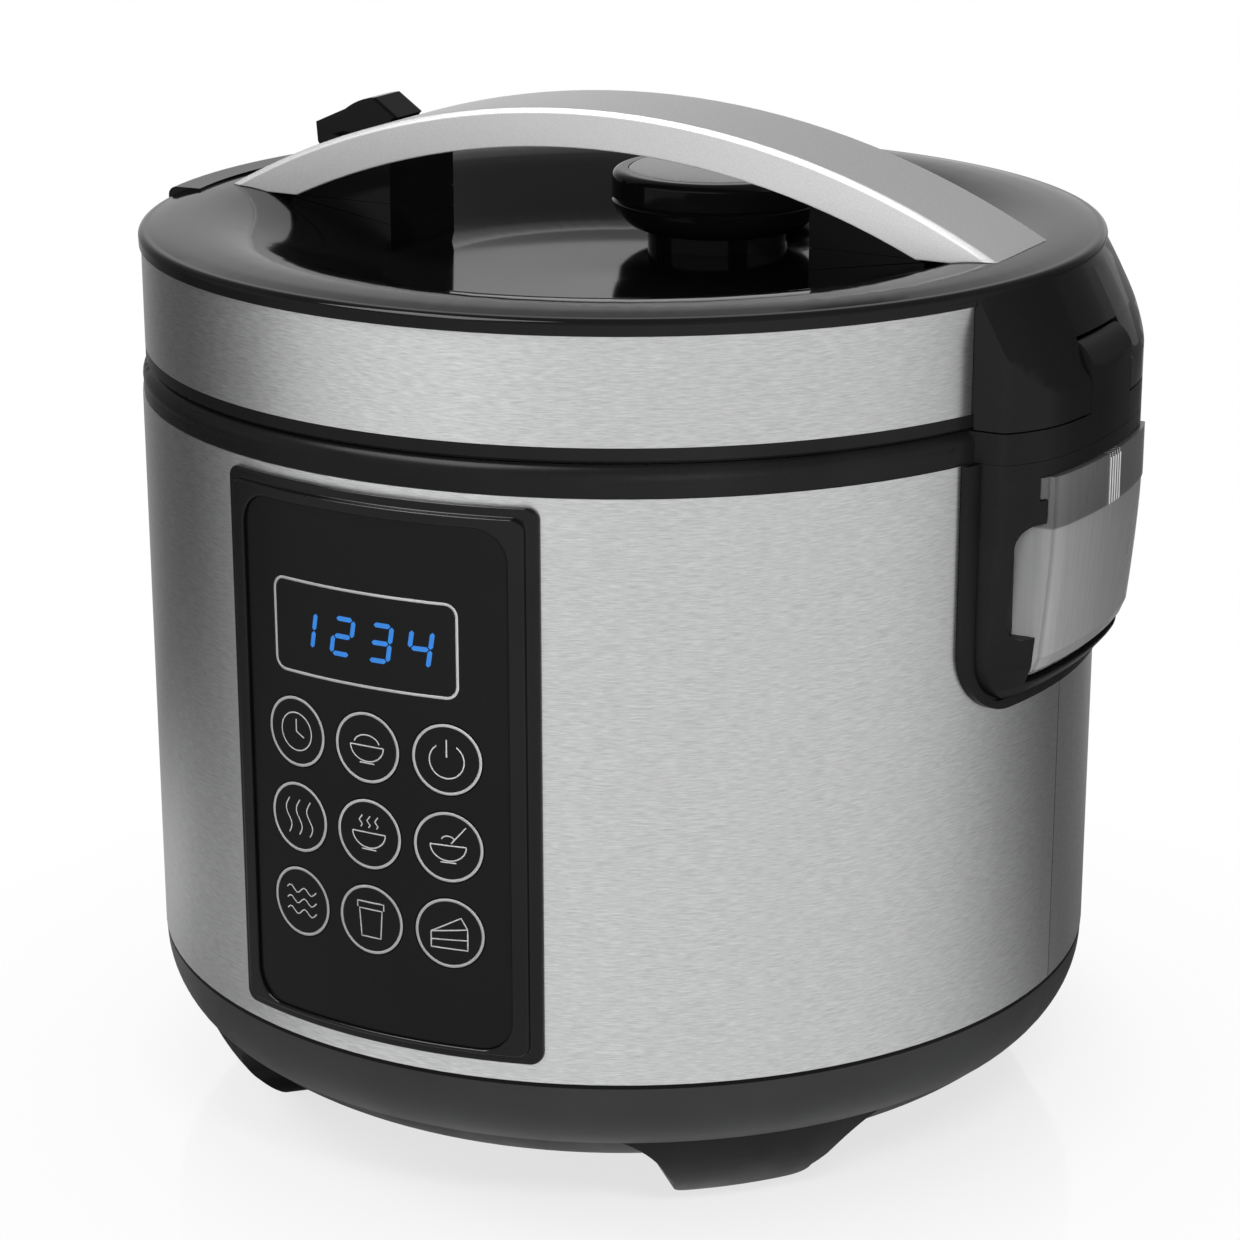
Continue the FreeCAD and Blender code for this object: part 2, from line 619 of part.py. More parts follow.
# Steel wrapper: rolled sheet, its seam under the housing, windows for panel, housing and inlet.
wrapper = ring(wrap_in_r, body_r, wrap_z0, wrap_z1)
wrapper = wrapper.cut(plate_front(plug_w + 2 * seat_gap, panel_z0 + lip_w + plug_in - seat_gap,
                                  panel_z1 - lip_w - plug_in + seat_gap, panel_round, front_y,
                                  -body_r / 2))
wrapper = wrapper.cut(box(0, body_r + 5, -cup_half - 3 - seat_gap, cup_half + 3 + seat_gap,
                          cup_z0 - 3.4 - seat_gap, wrap_z1 + 1))
wrapper = wrapper.cut(box(0, body_r + 5, -seam_w / 2, seam_w / 2, wrap_z0 - 1, cup_z0))
wrapper = wrapper.cut(box(-throat_w / 2 - seat_gap, throat_w / 2 + seat_gap, 0, body_r + 5,
                          inlet_z - throat_h / 2 - seat_gap, inlet_z + throat_h / 2 + seat_gap))
parts["steel_wrapper"] = one(wrapper)
parts["base_ring"] = one(base_ring)

# Liner, heating plate, sensor and pot.
parts["inner_liner"] = revolved(
    (30, ring_ledge_z), (liner_r, ring_ledge_z), (liner_r, ledge_z - 2.2 - seat_gap),
    (liner_r - liner_t, ledge_z - 2.2 - seat_gap), (liner_r - liner_t, ring_ledge_z + 1),
    (30, ring_ledge_z + 1))
plate_r = pot_r - plate_inset
plate = revolved(
    (sensor_r + move_gap, plate_z - plate_t), (plate_r, plate_z - plate_t), (plate_r, plate_z - 4),
    ((plate_r - 1.2, plate_z - 1.2), (plate_r - 4, plate_z)), (sensor_r + move_gap, plate_z))
for n in range(3):
    leg_a = math.radians(30 + 120 * n)
    plate = plate.fuse(disc(plate_leg_r, ring_ledge_z + 1, plate_z - plate_t + 1,
                            plate_r * 0.65 * math.cos(leg_a), plate_r * 0.65 * math.sin(leg_a)))
parts["heating_plate"] = one(plate)
parts["temperature_sensor"] = revolved(
    (0, plate_z - plate_t - 1), (sensor_r - 3, plate_z - plate_t - 1), (sensor_r, plate_z - plate_t + 2),
    (sensor_r, plate_z - move_gap - 0.8), (sensor_r - 0.8, plate_z - move_gap), (0, plate_z - move_gap))
pot_z = plate_z + seat_gap
flange_z = ledge_z + 0.3
knee = pot_corner * (1 - math.sqrt(0.5))
pot = revolved(
    (0, pot_z), (pot_r - pot_corner, pot_z), ((pot_r - knee, pot_z + knee), (pot_r, pot_z + pot_corner)),
    (pot_r, flange_z), (flange_r, flange_z), (flange_r, flange_z + pot_t),
    (pot_r - pot_t, flange_z + pot_t),
    (pot_r - pot_t, pot_z + pot_corner),
    ((pot_r - pot_t - (pot_corner - pot_t) * (1 - math.sqrt(0.5)),
      pot_z + pot_t + (pot_corner - pot_t) * (1 - math.sqrt(0.5))), (pot_r - pot_corner, pot_z + pot_t)),
    (0, pot_z + pot_t))
parts["inner_pot"] = one(pot)

# Lid top: edge, crowned land and dished bowl in one wall, with a skirt behind the steel band.
band_in_r = band_r - sheet_t
skirt_r = band_in_r - seat_gap
land_mid = (0.5 * (edge_r + bowl_r), top_z + land_crown)
floor_z = bowl_z - floor_dip
lid_top = revolved(
    (skirt_r - lid_wall, band_z0 + seat_gap), (skirt_r, band_z0 + seat_gap),
    (skirt_r, band_z1 + seat_gap),
    (edge_r, band_z1 + seat_gap), (edge_r, top_z - 1.1),
    ((edge_r - 0.5, top_z - 0.1), (edge_r - 1.7, top_z + 0.4)),
    (land_mid, (bowl_r + 1.5, top_z - 0.4)),
    ((bowl_r - 2.6, top_z - 1.6), (bowl_r - 6, top_z - 2.8)),
    (bowl_low_r + 5, bowl_z + 1.9), ((bowl_low_r - 2, bowl_z - 0.4), (bowl_low_r - 12, floor_z + 0.9)),
    (0, floor_z),
    (0, floor_z - lid_wall), (bowl_low_r - 12, floor_z + 0.9 - lid_wall),
    (bowl_low_r + 5, bowl_z + 1.9 - 1.1 * lid_wall),
    (bowl_r - 6, top_z - 2.8 - 1.1 * lid_wall), (bowl_r + 2, top_z - 0.6 - lid_wall),
    (skirt_r - lid_wall, top_z - lid_wall - 1.0))
hood_half = math.radians(hood_angle / 2)
hood_face = Part.Face(wire_of(
    at_rz, (edge_r - hood_run, top_z - 1), (edge_r - hood_run + 1.6, top_z + hood_up - 0.2),
    (edge_r - 1, top_z + hood_up),
    ((edge_r + hood_proud - 0.6, top_z + hood_up - 0.7), (edge_r + hood_proud, top_z + hood_up - 2.2)),
    (edge_r + hood_proud, band_z1 + 2 * seat_gap), (edge_r - 1, band_z1 + 2 * seat_gap)))
hood = hood_face.revolve(V(0, 0, 0), V(0, 0, 1), hood_angle)
lid_top = lid_top.fuse(turned(hood, 180 - hood_angle / 2))

# Hinge leaves run down from the lid's edge on both sides of the post.
slope_z = lid_z + leaf_foot
slope_mid = (edge_r - 0.3 + 0.49 * leaf_slope, slope_z + 0.58 * (top_z - 1 - slope_z))
leaf_form = revolved(
    (body_r - 12, lid_z), (edge_r + leaf_slope, lid_z), (edge_r + leaf_slope, slope_z),
    (slope_mid, (edge_r - 0.3, top_z - 1)), (body_r - 12, top_z - 1))
leaves = bowed(0, lid_z, top_z, shoulder_x - 16).common(leaf_form)
leaves = leaves.cut(disc(skirt_r - lid_wall + 0.5, band_z0, top_z)).cut(disc(band_r + 0.4, lid_z - 1,
                                                                             band_z0 + seat_gap))
lid_top = lid_top.fuse(leaves)
post_room = pin_y(post_r + 0.6, hinge_x, hinge_z, -post_w / 2 - move_gap, post_w / 2 + move_gap)
lid_top = lid_top.cut(post_room)
lid_top = lid_top.cut(pin_y(pin_r + run_gap, hinge_x, hinge_z, -pin_l / 2 - move_gap,
                            pin_l / 2 + move_gap))

# Low bosses under the handle's ends grow out of the bowl.
end_half = end_w / 2
boss_z = top_z - 0.3
wedge_z = top_z + 0.4
for side in (-1, 1):
    boss = across(-end_half, end_half, (side * gap_half, floor_z - 0.5),
                  (side * gap_half, wedge_z - wedge_t),
                  (side * (grip_half + 2), boss_z), (side * (grip_half + 2), top_z - 3.5),
                  (side * (bowl_low_r + 5), bowl_z + 0.6))
    lid_top = lid_top.fuse(boss)

# Lever cheeks stand on the land behind the handle.
pivot_z = top_z + lever_up
cheek_0 = lever_y - lever_w / 2 - move_gap
cheek_1 = lever_y + lever_w / 2 + move_gap
for y0 in (cheek_0 - cheek_t, cheek_1):
    cheek = across(y0, y0 + cheek_t, (-lever_x - 5.5, top_z - 2), (-lever_x + 5.5, top_z - 2),
                   (-lever_x + 4.2, pivot_z), ((-lever_x, pivot_z + 4.2), (-lever_x - 4.2, pivot_z)))
    lid_top = lid_top.fuse(cheek)
lid_top = lid_top.cut(pin_y(lever_pin_r + run_gap, -lever_x, pivot_z, cheek_0 - cheek_t - 1,
                            cheek_1 + cheek_t + 1))
vent_floor = bowl_z
lid_top = lid_top.cut(disc(tube_r + seat_gap, floor_z - 8, top_z, vent_x, vent_y))
parts["lid_top"] = one(lid_top)

# Steel band of the lid, open at the hinge.
band = ring(band_in_r, band_r, band_z0, band_z1)
parts["lid_band"] = one(band.cut(box(0, body_r + 5, -root_y - 0.3, root_y + 0.3, band_z0 - 1,
                                     band_z1 + 1)))

# Lower ring of the lid with the latch's slot.
lower_in = pot_r - 3
lower = revolved(
    (lower_in, lid_z), (band_r - 0.7, lid_z), (band_r, lid_z + 0.7), (band_r, band_z0 - seat_gap),
    (skirt_r - lid_wall - 1, band_z0 - seat_gap), (skirt_r - lid_wall - 1, lid_z + 2.6),
    (lower_in, lid_z + 2.6))
lower = lower.cut(post_room)
lower = lower.cut(box(-slot_r - bolt_t / 2 - move_gap, -slot_r + bolt_t / 2 + bolt_travel + move_gap,
                      -bolt_w / 2 - move_gap, bolt_w / 2 + move_gap, lid_z - 1, band_z0 + 2))
parts["lid_lower_ring"] = one(lower)

# Inner lid and its seal hang under the lower ring, over the pot.
inner_r = pot_r + 2
inner_z = lid_z - seat_gap
inner_low = inner_z - inner_lid_dip
inner_fold = inner_r - inner_rim
inner_lid = revolved(
    (0, inner_low - inner_lid_t), (inner_fold - inner_slope, inner_low - inner_lid_t),
    (inner_fold, inner_z - inner_lid_t), (inner_r, inner_z - inner_lid_t), (inner_r, inner_z),
    (inner_fold - 0.5, inner_z), (inner_fold - inner_slope - 0.5, inner_low), (0, inner_low))
inner_lid = inner_lid.cut(disc(tube_r + seat_gap, inner_z - 2 * inner_lid_dip, inner_z, vent_x, vent_y))
parts["inner_lid"] = one(inner_lid)
gasket_r = inner_r + seat_gap
parts["lid_gasket"] = revolved(
    (gasket_r, inner_z - 2.4), (gasket_r + 3.2, inner_z - 2.4),
    (gasket_r + gasket_w - 2.1, flange_z + pot_t + move_gap),
    (gasket_r + gasket_w, flange_z + pot_t + move_gap), (gasket_r + gasket_w - 0.6, inner_z),
    (gasket_r, inner_z))

# Handle: silver arch over a black core, whose ends stand on wedges on the bowl's bosses.
handle_r = edge_r - handle_in
half_w = handle_w / 2
end_x = math.sqrt(handle_r ** 2 - half_w ** 2)


def arch(y0, y1, span, rise, foot_z):
    """Solid under an arc that spans 2 * span and rises over foot_z."""
    return across(y0, y1, (-span, foot_z), ((0, foot_z + rise), (span, foot_z)))


grip = arch(-body_r, body_r, grip_half, grip_rise - 0.4, wedge_z)
outer_arch = arch(-half_w, half_w, end_x + 1.2, handle_rise - 0.4, wedge_z)
ridge = [e for e in outer_arch.Edges if e.Length > handle_r and abs(e.BoundBox.ZLength) > 5]
outer_arch = outer_arch.makeChamfer(shell_bevel, ridge)
outer_arch = outer_arch.common(disc(handle_r, 0, top_z + 2 * handle_rise))
outer_arch = outer_arch.cut(grip).cut(parts["lid_top"])
core_room = arch(-half_w + shell_side, half_w - shell_side, end_x - 9, handle_rise - 0.4 - shell_top,
                 wedge_z)
core_room = core_room.cut(disc(body_r, 0, wedge_z))
shell = outer_arch.cut(core_room)
parts["handle_shell"] = one(shell)
core = arch(-half_w + shell_side + seat_gap, half_w - shell_side - seat_gap, end_x - 9.2,
            handle_rise - 0.4 - shell_top - seat_gap, wedge_z + seat_gap)
core = core.cut(arch(-body_r, body_r, grip_half + 1, grip_rise + 0.4, wedge_z))
core = core.common(outer_arch)
for side in (-1, 1):
    end = across(-end_half, end_half, (side * gap_half, wedge_z + seat_gap),
                 (side * gap_half, top_z + 2 * grip_rise),
                 (side * (grip_half + 5), top_z + 2 * grip_rise),
                 (side * (grip_half + 5), wedge_z + seat_gap))
    core = core.fuse(end.common(arch(-half_w, half_w, grip_half, grip_rise - 0.4 - seat_gap, wedge_z)))
    link = across(-half_w + shell_side + seat_gap, half_w - shell_side - seat_gap,
                  (side * (gap_half + 2), top_z + 6), (side * (gap_half + 2), top_z + 16),
                  (side * (gap_half + 12), top_z + 14), (side * (gap_half + 12), top_z + 5))
    core = core.fuse(link.common(core_room.common(arch(-half_w, half_w, end_x - 9.2,
                                                       handle_rise - 0.4 - shell_top - seat_gap,
                                                       wedge_z))))
    wedge = across(-end_half, end_half, (side * gap_half, wedge_z - wedge_t + seat_gap),
                   (side * gap_half, wedge_z),
                   (side * (grip_half + 1), wedge_z), (side * (grip_half + 1), boss_z + seat_gap))
    parts["handle_spacer_%s" % ("left" if side < 0 else "right")] = one(wedge.cut(parts["lid_top"]))
parts["handle_core"] = one(core)

# Steam vent: tube through the lid, lift-off cap of two rings, silver disc.
cap_z = bowl_z + vent_lift
seam_z = cap_z + vent_low_h
cap_top = seam_z + vent_top_h
tube_top = cap_z + tube_up
collar_r = vent_low_r - collar_in
collar_z = cap_z - seat_gap
seat = revolved(
    (tube_bore, inner_z - inner_lid_dip - 1), (tube_r, inner_z - inner_lid_dip - 1),
    (tube_r, floor_z - lid_wall), (collar_r, floor_z - lid_wall), (collar_r, collar_z),
    (tube_r, collar_z),
    (tube_r, tube_top), (tube_bore, tube_top), axis=(vent_x, vent_y))
parts["vent_seat"] = one(seat.cut(parts["lid_top"]))
socket_r = tube_r + move_gap
parts["vent_cap"] = revolved(
    (socket_r, cap_z), (vent_low_r, cap_z), ((vent_r - 2.2, cap_z + 3.4), (vent_r, seam_z - 0.6)),
    (vent_r - 0.7, seam_z), (vent_r, seam_z + 0.6), (vent_r, cap_top - 2.0),
    ((vent_r - 0.7, cap_top - 0.6), (vent_r - 2.2, cap_top)),
    (vent_disc_r + seat_gap, cap_top), (vent_disc_r + seat_gap, cap_top - vent_disc_t),
    (0, cap_top - vent_disc_t),
    (0, tube_top + 3), (socket_r, tube_top + 3), axis=(vent_x, vent_y))
parts["vent_disc"] = revolved(
    (0, cap_top - vent_disc_t), (vent_disc_r, cap_top - vent_disc_t), (vent_disc_r, cap_top - 0.3),
    (vent_disc_r - 0.6, cap_top + 0.2), (0, cap_top + 0.6), axis=(vent_x, vent_y))

# Release lever between its cheeks, with trunnions, and the latch that it draws back.
lx = -lever_x
lever = across(lever_y - lever_w / 2, lever_y + lever_w / 2,
               (lx - lever_tail + 0.4, pivot_z + 1.6), (lx - lever_tail, pivot_z + 0.45 * lever_top),
               (lx + 0.1 * lever_reach, pivot_z + 0.74 * lever_top),
               ((lx + 0.4 * lever_reach, pivot_z + 0.94 * lever_top),
                (lx + 0.62 * lever_reach, pivot_z + lever_top)),
               (lx + lever_reach, pivot_z + 0.66 * lever_top),
               (lx + 0.84 * lever_reach, pivot_z + 0.44 * lever_top),
               ((lx + 0.42 * lever_reach, pivot_z + 0.3 * lever_top), (lx + 3.4, pivot_z - 2.4)),
               ((lx, pivot_z - 4.2), (lx - 3.4, pivot_z - 2.4)))
tip_edges = [e for e in lever.Edges if abs(e.Vertexes[0].Y - e.Vertexes[-1].Y) < 0.01
             and e.BoundBox.ZMin > pivot_z + 0.4]
lever = lever.makeFillet(1.0, tip_edges)
lever = lever.fuse(pin_y(lever_pin_r, lx, pivot_z, cheek_0 - cheek_t + 0.3, cheek_1 + cheek_t - 0.3))
parts["release_lever"] = one(lever)
bolt_z = lid_z + 2.6 + move_gap
bolt = box(-slot_r - bolt_t / 2, -slot_r - bolt_t / 2 + bolt_l, -bolt_w / 2, bolt_w / 2, bolt_z,
           bolt_z + bolt_t)
tongue = across(-bolt_w / 2, bolt_w / 2, (-slot_r - bolt_t / 2, bolt_z + bolt_t),
                (-slot_r - bolt_t / 2, rim_z - 6.6),
                (-slot_r, rim_z - 7.6), (-slot_r + bolt_t / 2, rim_z - 6.6),
                (-slot_r + bolt_t / 2, bolt_z + bolt_t))
parts["latch_bolt"] = one(bolt.fuse(tongue))

# All pieces are shifted together: origin under the middle of the whole, on the ground.
nose_x = front_x + cup_proud + brow_t + 0.7 * rib_r
reach_x = (nose_x - max(body_r, edge_r + hood_proud)) / 2
reach_y = (max(body_r, inlet_y) - body_r - frame_proud) / 2
shift = V(-reach_x, -reach_y, 0)
os.makedirs("parts", exist_ok=True)
for name, solid in parts.items():
    solid.translate(shift)
    if not solid.isValid():
        raise ValueError("invalid solid: " + name)
    solid.exportStep("parts/%s.step" % name)
print("pieces %d  shift %.4f %.4f  hinge %.3f %.3f  lever %.3f %.3f  bowl %.3f" % (
    len(parts), shift.x, shift.y, hinge_x, hinge_z, -lever_x, pivot_z, bowl_z))
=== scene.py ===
import math

import bmesh
import bpy
from mathutils import Matrix, Vector


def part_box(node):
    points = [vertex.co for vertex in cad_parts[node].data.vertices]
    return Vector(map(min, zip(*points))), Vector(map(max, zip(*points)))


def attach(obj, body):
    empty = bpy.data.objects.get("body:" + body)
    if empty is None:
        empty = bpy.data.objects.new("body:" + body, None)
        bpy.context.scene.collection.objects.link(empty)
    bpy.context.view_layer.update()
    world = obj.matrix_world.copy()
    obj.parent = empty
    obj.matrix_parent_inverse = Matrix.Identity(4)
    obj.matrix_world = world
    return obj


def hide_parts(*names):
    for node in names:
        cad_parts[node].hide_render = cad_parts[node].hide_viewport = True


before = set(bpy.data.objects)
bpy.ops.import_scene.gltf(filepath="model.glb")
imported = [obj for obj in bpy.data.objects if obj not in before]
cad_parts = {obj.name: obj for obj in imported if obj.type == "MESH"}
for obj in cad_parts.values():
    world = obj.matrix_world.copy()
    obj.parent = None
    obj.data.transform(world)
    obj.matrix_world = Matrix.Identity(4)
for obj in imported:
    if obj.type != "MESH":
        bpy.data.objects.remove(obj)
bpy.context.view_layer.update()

# Foot pads: four small rubber blocks pressed into the ends of the feet.
# They are moulded in black rubber with round corners, a softened lower edge and a fine dull grain.
MM = 0.001
GRAIN_LOW = 0.3
GRAIN_HIGH = 0.7
wrap_low, wrap_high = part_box("steel_wrapper")
pot_axis = Vector(((wrap_low[0] + wrap_high[0]) / 2, (wrap_low[1] + wrap_high[1]) / 2, 0))


def new_finish(name):
    """A material with its own nodes, and its shader."""
    finish = bpy.data.materials.new(name)
    finish.use_nodes = True
    return finish, finish.node_tree, finish.node_tree.nodes["Principled BSDF"]


def grain(tree, size, detail=3.0, stretch=(1, 1, 1), rough=0.55):
    """Noise on the piece's own coordinates, with grains of about the given size in metres."""
    where = tree.nodes.new("ShaderNodeTexCoord")
    turn = tree.nodes.new("ShaderNodeMapping")
    turn.inputs["Scale"].default_value = [s / size for s in stretch]
    noise = tree.nodes.new("ShaderNodeTexNoise")
    noise.inputs["Scale"].default_value = 1.0
    noise.inputs["Detail"].default_value = detail
    noise.inputs["Roughness"].default_value = rough
    tree.links.new(where.outputs["Object"], turn.inputs["Vector"])
    tree.links.new(turn.outputs["Vector"], noise.inputs["Vector"])
    return noise.outputs["Fac"]


def between(tree, value, low, high, at_low=0.0, at_high=1.0):
    """A value that runs evenly from one level to the other."""
    span = tree.nodes.new("ShaderNodeMapRange")
    for socket, level in (("From Min", low), ("From Max", high), ("To Min", at_low), ("To Max", at_high)):
        span.inputs[socket].default_value = level
    tree.links.new(value, span.inputs["Value"])
    return span.outputs["Result"]


def tinted(tree, shader, fac, dark, light):
    """Base colour that wanders between two shades."""
    ramp = tree.nodes.new("ShaderNodeValToRGB")
    ramp.color_ramp.elements[0].position = GRAIN_LOW
    ramp.color_ramp.elements[0].color = (*dark, 1)
    ramp.color_ramp.elements[1].position = GRAIN_HIGH
    ramp.color_ramp.elements[1].color = (*light, 1)
    tree.links.new(fac, ramp.inputs["Fac"])
    tree.links.new(ramp.outputs["Color"], shader.inputs["Base Color"])


def polished(tree, shader, fac, smooth, dull):
    """Roughness that wanders between two values."""
    tree.links.new(between(tree, fac, GRAIN_LOW, GRAIN_HIGH, smooth, dull), shader.inputs["Roughness"])


def embossed(tree, shader, fac, height):
    """Surface relief of the given height in metres."""
    bump = tree.nodes.new("ShaderNodeBump")
    bump.inputs["Strength"].default_value = 1.0
    bump.inputs["Distance"].default_value = height
    tree.links.new(fac, bump.inputs["Height"])
    tree.links.new(bump.outputs["Normal"], shader.inputs["Normal"])


def moulded(name, dark, light, smooth, dull, grain_size, relief, patch=0.03, gloss=0.5):
    """Moulded plastic or rubber: patchy shade and gloss over a fine grain."""
    finish, tree, shader = new_finish(name)
    shader.inputs["Specular IOR Level"].default_value = gloss
    tinted(tree, shader, grain(tree, patch), dark, light)
    polished(tree, shader, grain(tree, patch * 0.6), smooth, dull)
    embossed(tree, shader, grain(tree, grain_size), relief)
    return finish


def dress(finish, *nodes):
    """Gives CAD nodes their finish."""
    for node in nodes:
        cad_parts[node].material_slots[0].material = finish


def piece_of(name, form, finish):
    """A piece with the given form and finish."""
    mesh = bpy.data.meshes.new(name)
    form.to_mesh(mesh)
    form.free()
    mesh.materials.append(finish)
    piece = bpy.data.objects.new(name, mesh)
    bpy.context.collection.objects.link(piece)
    return piece


def rounded_block(name, size, corner, edge, turn, place, finish):
    """A block with round upright corners and a softened lower edge, turned about its own upright axis."""
    block = bmesh.new()
    bmesh.ops.create_cube(block, size=1)
    bmesh.ops.scale(block, vec=size, verts=block.verts)
    upright = [e for e in block.edges if abs(e.verts[0].co.z - e.verts[1].co.z) > size[2] / 2]
    bmesh.ops.bevel(block, geom=upright, offset=corner, segments=6, profile=0.5, affect="EDGES", material=-1)
    lower = [e for e in block.edges if max(v.co.z for v in e.verts) < 0]
    bmesh.ops.bevel(block, geom=lower, offset=edge, segments=3, profile=0.5, affect="EDGES", material=-1)
    bmesh.ops.rotate(block, cent=(0, 0, 0), matrix=Matrix.Rotation(turn, 3, "Z"), verts=block.verts)
    bmesh.ops.translate(block, vec=place, verts=block.verts)
    return piece_of(name, block, finish)


PAD_SIZE = (17 * MM, 8 * MM, 1.0 * MM)
PAD_CORNER = 2.5 * MM
PAD_EDGE = 0.25 * MM
pad_rubber = moulded("pad_rubber", (0.012, 0.012, 0.012), (0.02, 0.02, 0.0195), 0.7, 0.9,
                     0.5 * MM, 0.04 * MM, gloss=0.3)
for n in range(4):
    pad_node = "foot_pad_%d" % (n + 1)
    pad_low, pad_high = (Vector(corner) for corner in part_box(pad_node))
    pad_place = (pad_low + pad_high) / 2
    pad_place.z = PAD_SIZE[2] / 2
    pad_out = pad_place - pot_axis
    pad_turn = math.atan2(pad_out.y, pad_out.x) + math.pi / 2
    pad = rounded_block("rubber_pad_%d" % (n + 1), PAD_SIZE, PAD_CORNER, PAD_EDGE, pad_turn, pad_place,
                        pad_rubber)
    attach(pad, "base")
    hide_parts(pad_node)

# Bottom cover: a shallow black dish with four feet that flare out of it, in one moulding.
# It is polypropylene with the fine spark-eroded grain that such hidden covers have.
cover_plastic = moulded("cover_plastic", (0.004, 0.004, 0.0043), (0.006, 0.006, 0.0064), 0.42, 0.55,
                        0.35 * MM, 0.012 * MM, gloss=0.14)
dress(cover_plastic, "bottom_cover")

# Base ring: the dark grey bowl-shaped ring under the steel, moulded in one piece.
# Its satin surface has hardly any grain, so it takes a broad soft sheen.
# A black bead along the joint between it and the steel is painted shade: a dark ring where the gap lies in
# shade.
ring_plastic = moulded("ring_plastic", (0.019, 0.0193, 0.0198), (0.024, 0.0244, 0.025), 0.34, 0.42,
                       0.3 * MM, 0.004 * MM, gloss=0.24)
dress(ring_plastic, "base_ring")


def spun(name, profile, finish, steps=192):
    """A closed ring: a section of radius and height points, spun round the pot's axis."""
    ring = bmesh.new()
    corners = [ring.verts.new(pot_axis + Vector((r, 0, z))) for r, z in profile]
    edges = [ring.edges.new((a, b)) for a, b in zip(corners, corners[1:] + corners[:1])]
    bmesh.ops.spin(ring, geom=corners + edges, cent=pot_axis, axis=(0, 0, 1), angle=math.tau, steps=steps,
                   use_merge=True)
    bmesh.ops.remove_doubles(ring, verts=ring.verts, dist=1e-7)
    bmesh.ops.recalc_face_normals(ring, faces=ring.faces)
    piece = piece_of(name, ring, finish)
    piece.data.shade_smooth()
    piece.data.set_sharp_from_angle(angle=math.radians(30))
    return piece


# Painted shade: a black ring laid into the shaded joint under the steel to darken it.
SHADE_BEAD_H = 1.1 * MM
SHADE_BEAD_DEPTH = 2 * MM
SHADE_BEAD_SHY = 0.05 * MM
SHADE_BEAD_DROP = 0.02 * MM
shade_bead_r = wrap_high[1] - pot_axis.y - SHADE_BEAD_SHY
shade_bead_top = wrap_low[2] - SHADE_BEAD_DROP
shade_bead_black = moulded("shade_bead_black", (0.003, 0.003, 0.003), (0.005, 0.005, 0.005), 0.5, 0.7,
                     0.5 * MM, 0.01 * MM, gloss=0.08)
shade_bead_section = [(shade_bead_r - SHADE_BEAD_DEPTH, shade_bead_top), (shade_bead_r, shade_bead_top),
                (shade_bead_r - SHADE_BEAD_SHY, shade_bead_top - SHADE_BEAD_H), (shade_bead_r - SHADE_BEAD_DEPTH, shade_bead_top - SHADE_BEAD_H)]
steel_shade_bead = spun("steel_shade_bead", shade_bead_section, shade_bead_black)
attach(steel_shade_bead, "base")

# Steel wrapper: a rolled stainless sheet, brushed round the body, seamed under the hinge housing.
# The brushing leaves short level scratches, which draw each reflection out upwards.
SCRATCH_LENGTH = 3.4 * MM
SCRATCH_WIDTH = 0.25 * MM
SCRATCH_DARK = 0.8
SCRATCH_LIGHT = 1.16


def brushed(name, shade, scratch_length, scratch_width):
    """Stainless sheet with level scratches."""
    finish, tree, shader = new_finish(name)
    scratch = grain(tree, 1.0, 4.0, (1 / scratch_length, 1 / scratch_length, 1 / scratch_width), 0.6)
    dark = [c * SCRATCH_DARK for c in shade]
    light = [min(1, c * SCRATCH_LIGHT) for c in shade]
    tinted(tree, shader, scratch, dark, light)
    polished(tree, shader, scratch, 0.3, 0.34)
    embossed(tree, shader, scratch, 0.008 * MM)
    shader.inputs["Metallic"].default_value = 1.0
    shader.inputs["Anisotropic"].default_value = 0.75
    shader.inputs["Anisotropic Rotation"].default_value = 0.25
    return finish


body_steel = brushed("body_steel", (0.61, 0.613, 0.617), SCRATCH_LENGTH, SCRATCH_WIDTH)
dress(body_steel, "steel_wrapper")

# Liner, heating plate, sensor and pot, seen when the lid is open.
# The liner is zinc-coated sheet, the plate and the sensor are turned aluminium, the pot has a dark coat.
WAVE_LENGTH = math.tau / 20  # of a wave texture with a scale of 1
liner_zinc = moulded("liner_zinc", (0.45, 0.46, 0.47), (0.56, 0.57, 0.58), 0.35, 0.5,
                     4 * MM, 0.01 * MM, patch=0.012)
liner_zinc.node_tree.nodes["Principled BSDF"].inputs["Metallic"].default_value = 1.0
dress(liner_zinc, "inner_liner")


def turned_metal(name, shade, pitch, centre):
    """Metal with the rings that a lathe tool leaves."""
    finish, tree, shader = new_finish(name)
    where = tree.nodes.new("ShaderNodeTexCoord")
    move = tree.nodes.new("ShaderNodeMapping")
    move.inputs["Location"].default_value = (-centre[0], -centre[1], 0)
    rings = tree.nodes.new("ShaderNodeTexWave")
    rings.wave_type = "RINGS"
    rings.rings_direction = "Z"
    rings.inputs["Scale"].default_value = WAVE_LENGTH / pitch
    rings.inputs["Distortion"].default_value = 0.6
    tree.links.new(where.outputs["Object"], move.inputs["Vector"])
    tree.links.new(move.outputs["Vector"], rings.inputs["Vector"])
    tinted(tree, shader, rings.outputs["Fac"], [c * 0.9 for c in shade], shade)
    polished(tree, shader, grain(tree, 8 * MM), 0.24, 0.34)
    embossed(tree, shader, rings.outputs["Fac"], 0.01 * MM)
    shader.inputs["Metallic"].default_value = 1.0
    return finish


plate_alloy = turned_metal("plate_alloy", (0.66, 0.66, 0.67), 0.8 * MM, pot_axis)
dress(plate_alloy, "heating_plate", "temperature_sensor")
pot_coat = moulded("pot_coat", (0.05, 0.05, 0.052), (0.085, 0.085, 0.088), 0.3, 0.42,
                   0.6 * MM, 0.008 * MM, patch=0.0012)
dress(pot_coat, "inner_pot")

